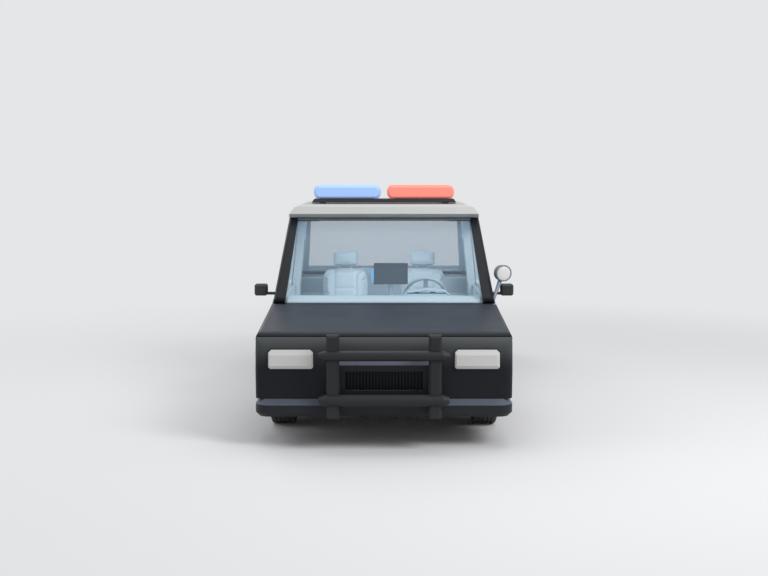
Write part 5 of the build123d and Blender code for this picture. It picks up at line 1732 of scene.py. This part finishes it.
def makeHoodInside():
    # pressed braces and the catch on the hood's lower face
    front, rear = -2.300, -1.255
    runs = [[(x, front), (x, rear)] for x in (-0.80, 0.80)]
    runs += [[(-0.80, y), (0.80, y)] for y in (front, rear)]
    runs += [[(0.0, front), (x, rear)] for x in (0.76, -0.76)]
    section = hatSection(0.036, 0.022, 0.012)
    makePiece("hoodBraces", "blackPaint",
              *[sweep([(x, y, hoodUnder(y) + 0.0015) for x, y in run], section, up=(0, hoodSkin["slope"], -1))
                for run in runs], body="hood")
    y = -2.312
    loop = [(-0.026, y, hoodUnder(y)), (-0.026, y, 0.806), (0.026, y, 0.806), (0.026, y, hoodUnder(y))]
    makePiece("hoodCatch", "brightSteel", tube(loop, 0.004, 0.010, 10, (0, 1, 0)), body="hood")


# Boot: mats, spare wheel and its clamp, lid braces, lock; and the fuel filler door

boot = {
    "spare": (-0.230, 2.150, 0.398), "floor": 0.500,
    "underFront": (1.875, 0.9730), "underRear": (2.440, 0.9605),
    "mats": ((-0.640, 0.640, 1.462, 1.806), (0.128, 0.640, 1.806, 2.490), (-0.895, -0.590, 1.873, 2.490),
             (0.640, 0.895, 1.873, 2.490)),
    "lidX": 0.64, "lidY": 2.5365, "lidZ": (0.880, 0.690), "crossZ": 0.700,
}
spareProfiles = {
    "tyre": [(-0.070, 0), (-0.070, 0.200), (-0.078, 0.255), (-0.062, 0.298), (-0.030, 0.312), (0.030, 0.312),
             (0.062, 0.298), (0.078, 0.255), (0.070, 0.203), (0.0, 0.200), (0.0, 0)],
    "rim": [(0.0005, 0.1995), (0.066, 0.1985), (0.070, 0.206), (0.074, 0.204), (0.067, 0.193), (0.018, 0.190),
            (0.012, 0.150), (0.034, 0.112), (0.038, 0.060), (0.022, 0.050), (0.022, 0)],
    "clamp": [(0.020, 0.010), (0.060, 0.010), (0.062, 0.040), (0.070, 0.040), (0.074, 0.014), (0.086, 0.012),
              (0.088, 0)],
}


def makeBootFittings():
    z = boot["floor"]
    makePiece("bootMats", "carpet", *[box((x0, y0, z - 0.001), (x1, y1, z + 0.007), 0.002, 1)
                                      for x0, x1, y0, y1 in boot["mats"]])
    place, (x, y, z) = upright(*boot["spare"]), boot["spare"]
    makePiece("spareTyre", "tyreRubber", lathe(spareProfiles["tyre"], place, 72))
    makePiece("spareRim", "wheelSteel", lathe(spareProfiles["rim"], place, 56))
    makePiece("spareClamp", "brightSteel", lathe(spareProfiles["clamp"], place, 24),
              box((x - 0.040, y - 0.006, z + 0.074), (x + 0.040, y + 0.006, z + 0.088), 0.005))


def makeBootLidInside():
    hat, front, rear = hatSection(0.034, 0.022, 0.011), boot["underFront"], boot["underRear"]
    x, y, cross = boot["lidX"], boot["lidY"], boot["crossZ"]
    braces = []
    for across in (-x, x):
        braces += [sweep([(across, *front), (across, *rear)], hat, up=(0, 0, -1)),
                   sweep([(across, y, z) for z in boot["lidZ"]], hat, up=(0, -1, 0))]
    braces.append(sweep([(-x, *front), (x, *front)], hat, up=(0, 0, -1)))
    braces += [sweep([(0, *rear), (across, *front)], hat, up=(0, 0, -1)) for across in (0.60, -0.60)]
    braces.append(sweep([(-x, y, cross), (x, y, cross)], hat, up=(0, -1, 0)))
    makePiece("bootLidBraces", "blackPaint", *braces, body="trunk_lid")
    makePiece("bootLatch", "brightSteel", box((-0.034, 2.500, 0.664), (0.034, 2.534, 0.722), 0.006),
              body="trunk_lid")
    barrel = [(0, 0.017), (0.004, 0.017), (0.006, 0.013), (0.0045, 0.009), (0.0045, 0)]
    makePiece("bootLock", "chrome", lathe(barrel, alongAxis((0, 1, 0), (0, 2.5585, 0.730)), 28),
              body="trunk_lid")


def makeFillerDoor():
    # the fuel filler's flap on the right rear quarter, drawn by its gap
    y0, y1, z0, z1 = 1.960, 2.120, 0.715, 0.865
    corners = [(-flankOut(z) - 0.0002, y, z) for y, z in ((y0, z0), (y1, z0), (y1, z1), (y0, z1))]
    makePiece("fillerGap", "rubberSeal",
              sweep(roundedPath(corners, 0.016, 5), flatSection(0.0018, -0.001, 0.0006), closed=True,
                    up=(-1, 0, 0)))


# Under the floor: drive shaft, fuel tank and its straps, brake and fuel lines

def makeUnderside():
    shafts = [[(0, -1.175, 0.360), (0, 0.120, 0.352)], [(0, 0.150, 0.352), (0, 1.345, 0.345)]]
    joint = [(-0.030, 0), (-0.030, 0.042), (-0.012, 0.048), (0.012, 0.048), (0.030, 0.042), (0.030, 0)]
    makePiece("driveShaft", "chassisSteel", *[tube(run, 0.034, 0.05, 28) for run in shafts],
              *[lathe(joint, alongAxis((0, 1, 0), (0, y, z)), 28)
                for y, z in ((-1.150, 0.360), (0.135, 0.352), (1.300, 0.345))])
    makePiece("fuelTank", "underbodyWax", box((-0.440, 1.030, 0.272), (-0.085, 1.300, 0.478), 0.030, 4),
              sweep([(-0.440, 1.165, 0.375), (-0.085, 1.165, 0.375)], flatSection(0.140, -0.005, 0.005)))
    straps = []
    for x in (-0.350, -0.175):
        corners = [(x, 1.028, 0.270), (x, 1.302, 0.270), (x, 1.302, 0.482), (x, 1.028, 0.482)]
        ring = roundedPath(corners, 0.032, 5)
        straps.append(sweep(ring, flatSection(0.016, -0.001, 0.002), closed=True, up=(1, 0, 0)))
    lines = [[(x, -1.000, 0.237), (x, 0.930, 0.237), (x, 1.010, 0.262), (x, 1.035, 0.300)]
             for x in (-0.300, -0.318)]
    makePiece("tankStraps", "brightSteel", *straps, *[tube(line, 0.004, 0.05, 8) for line in lines],
              slot="chassis_steel")


def makeDoorCatches():
    # hinge leaves on each door's front face, and a latch plate on the front door's rear face
    for endName in axles:
        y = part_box(f"door_{endName}_left")[0].y
        plates = [box((0.888, y - 0.001, z - 0.040), (0.945, y + 0.002, z + 0.040), 0.0008, 1)
                  for z in (0.420, 0.840)]
        if endName == "front":
            plates.insert(0, box((0.900, 0.189, 0.740), (0.940, 0.191, 0.830), 0.0008, 1))
        makePair(f"doorCatch{endName.title()}", "brightSteel", *plates, body=f"door_{endName}_{{}}")


makeEngineTop()
makeBeltDrive()
makeCooling()
makeBayBoxes()
makeHoodInside()
makeBootFittings()
makeBootLidInside()
makeFillerDoor()
makeUnderside()
makeDoorCatches()
print("engine bay, boot and underside dressed")
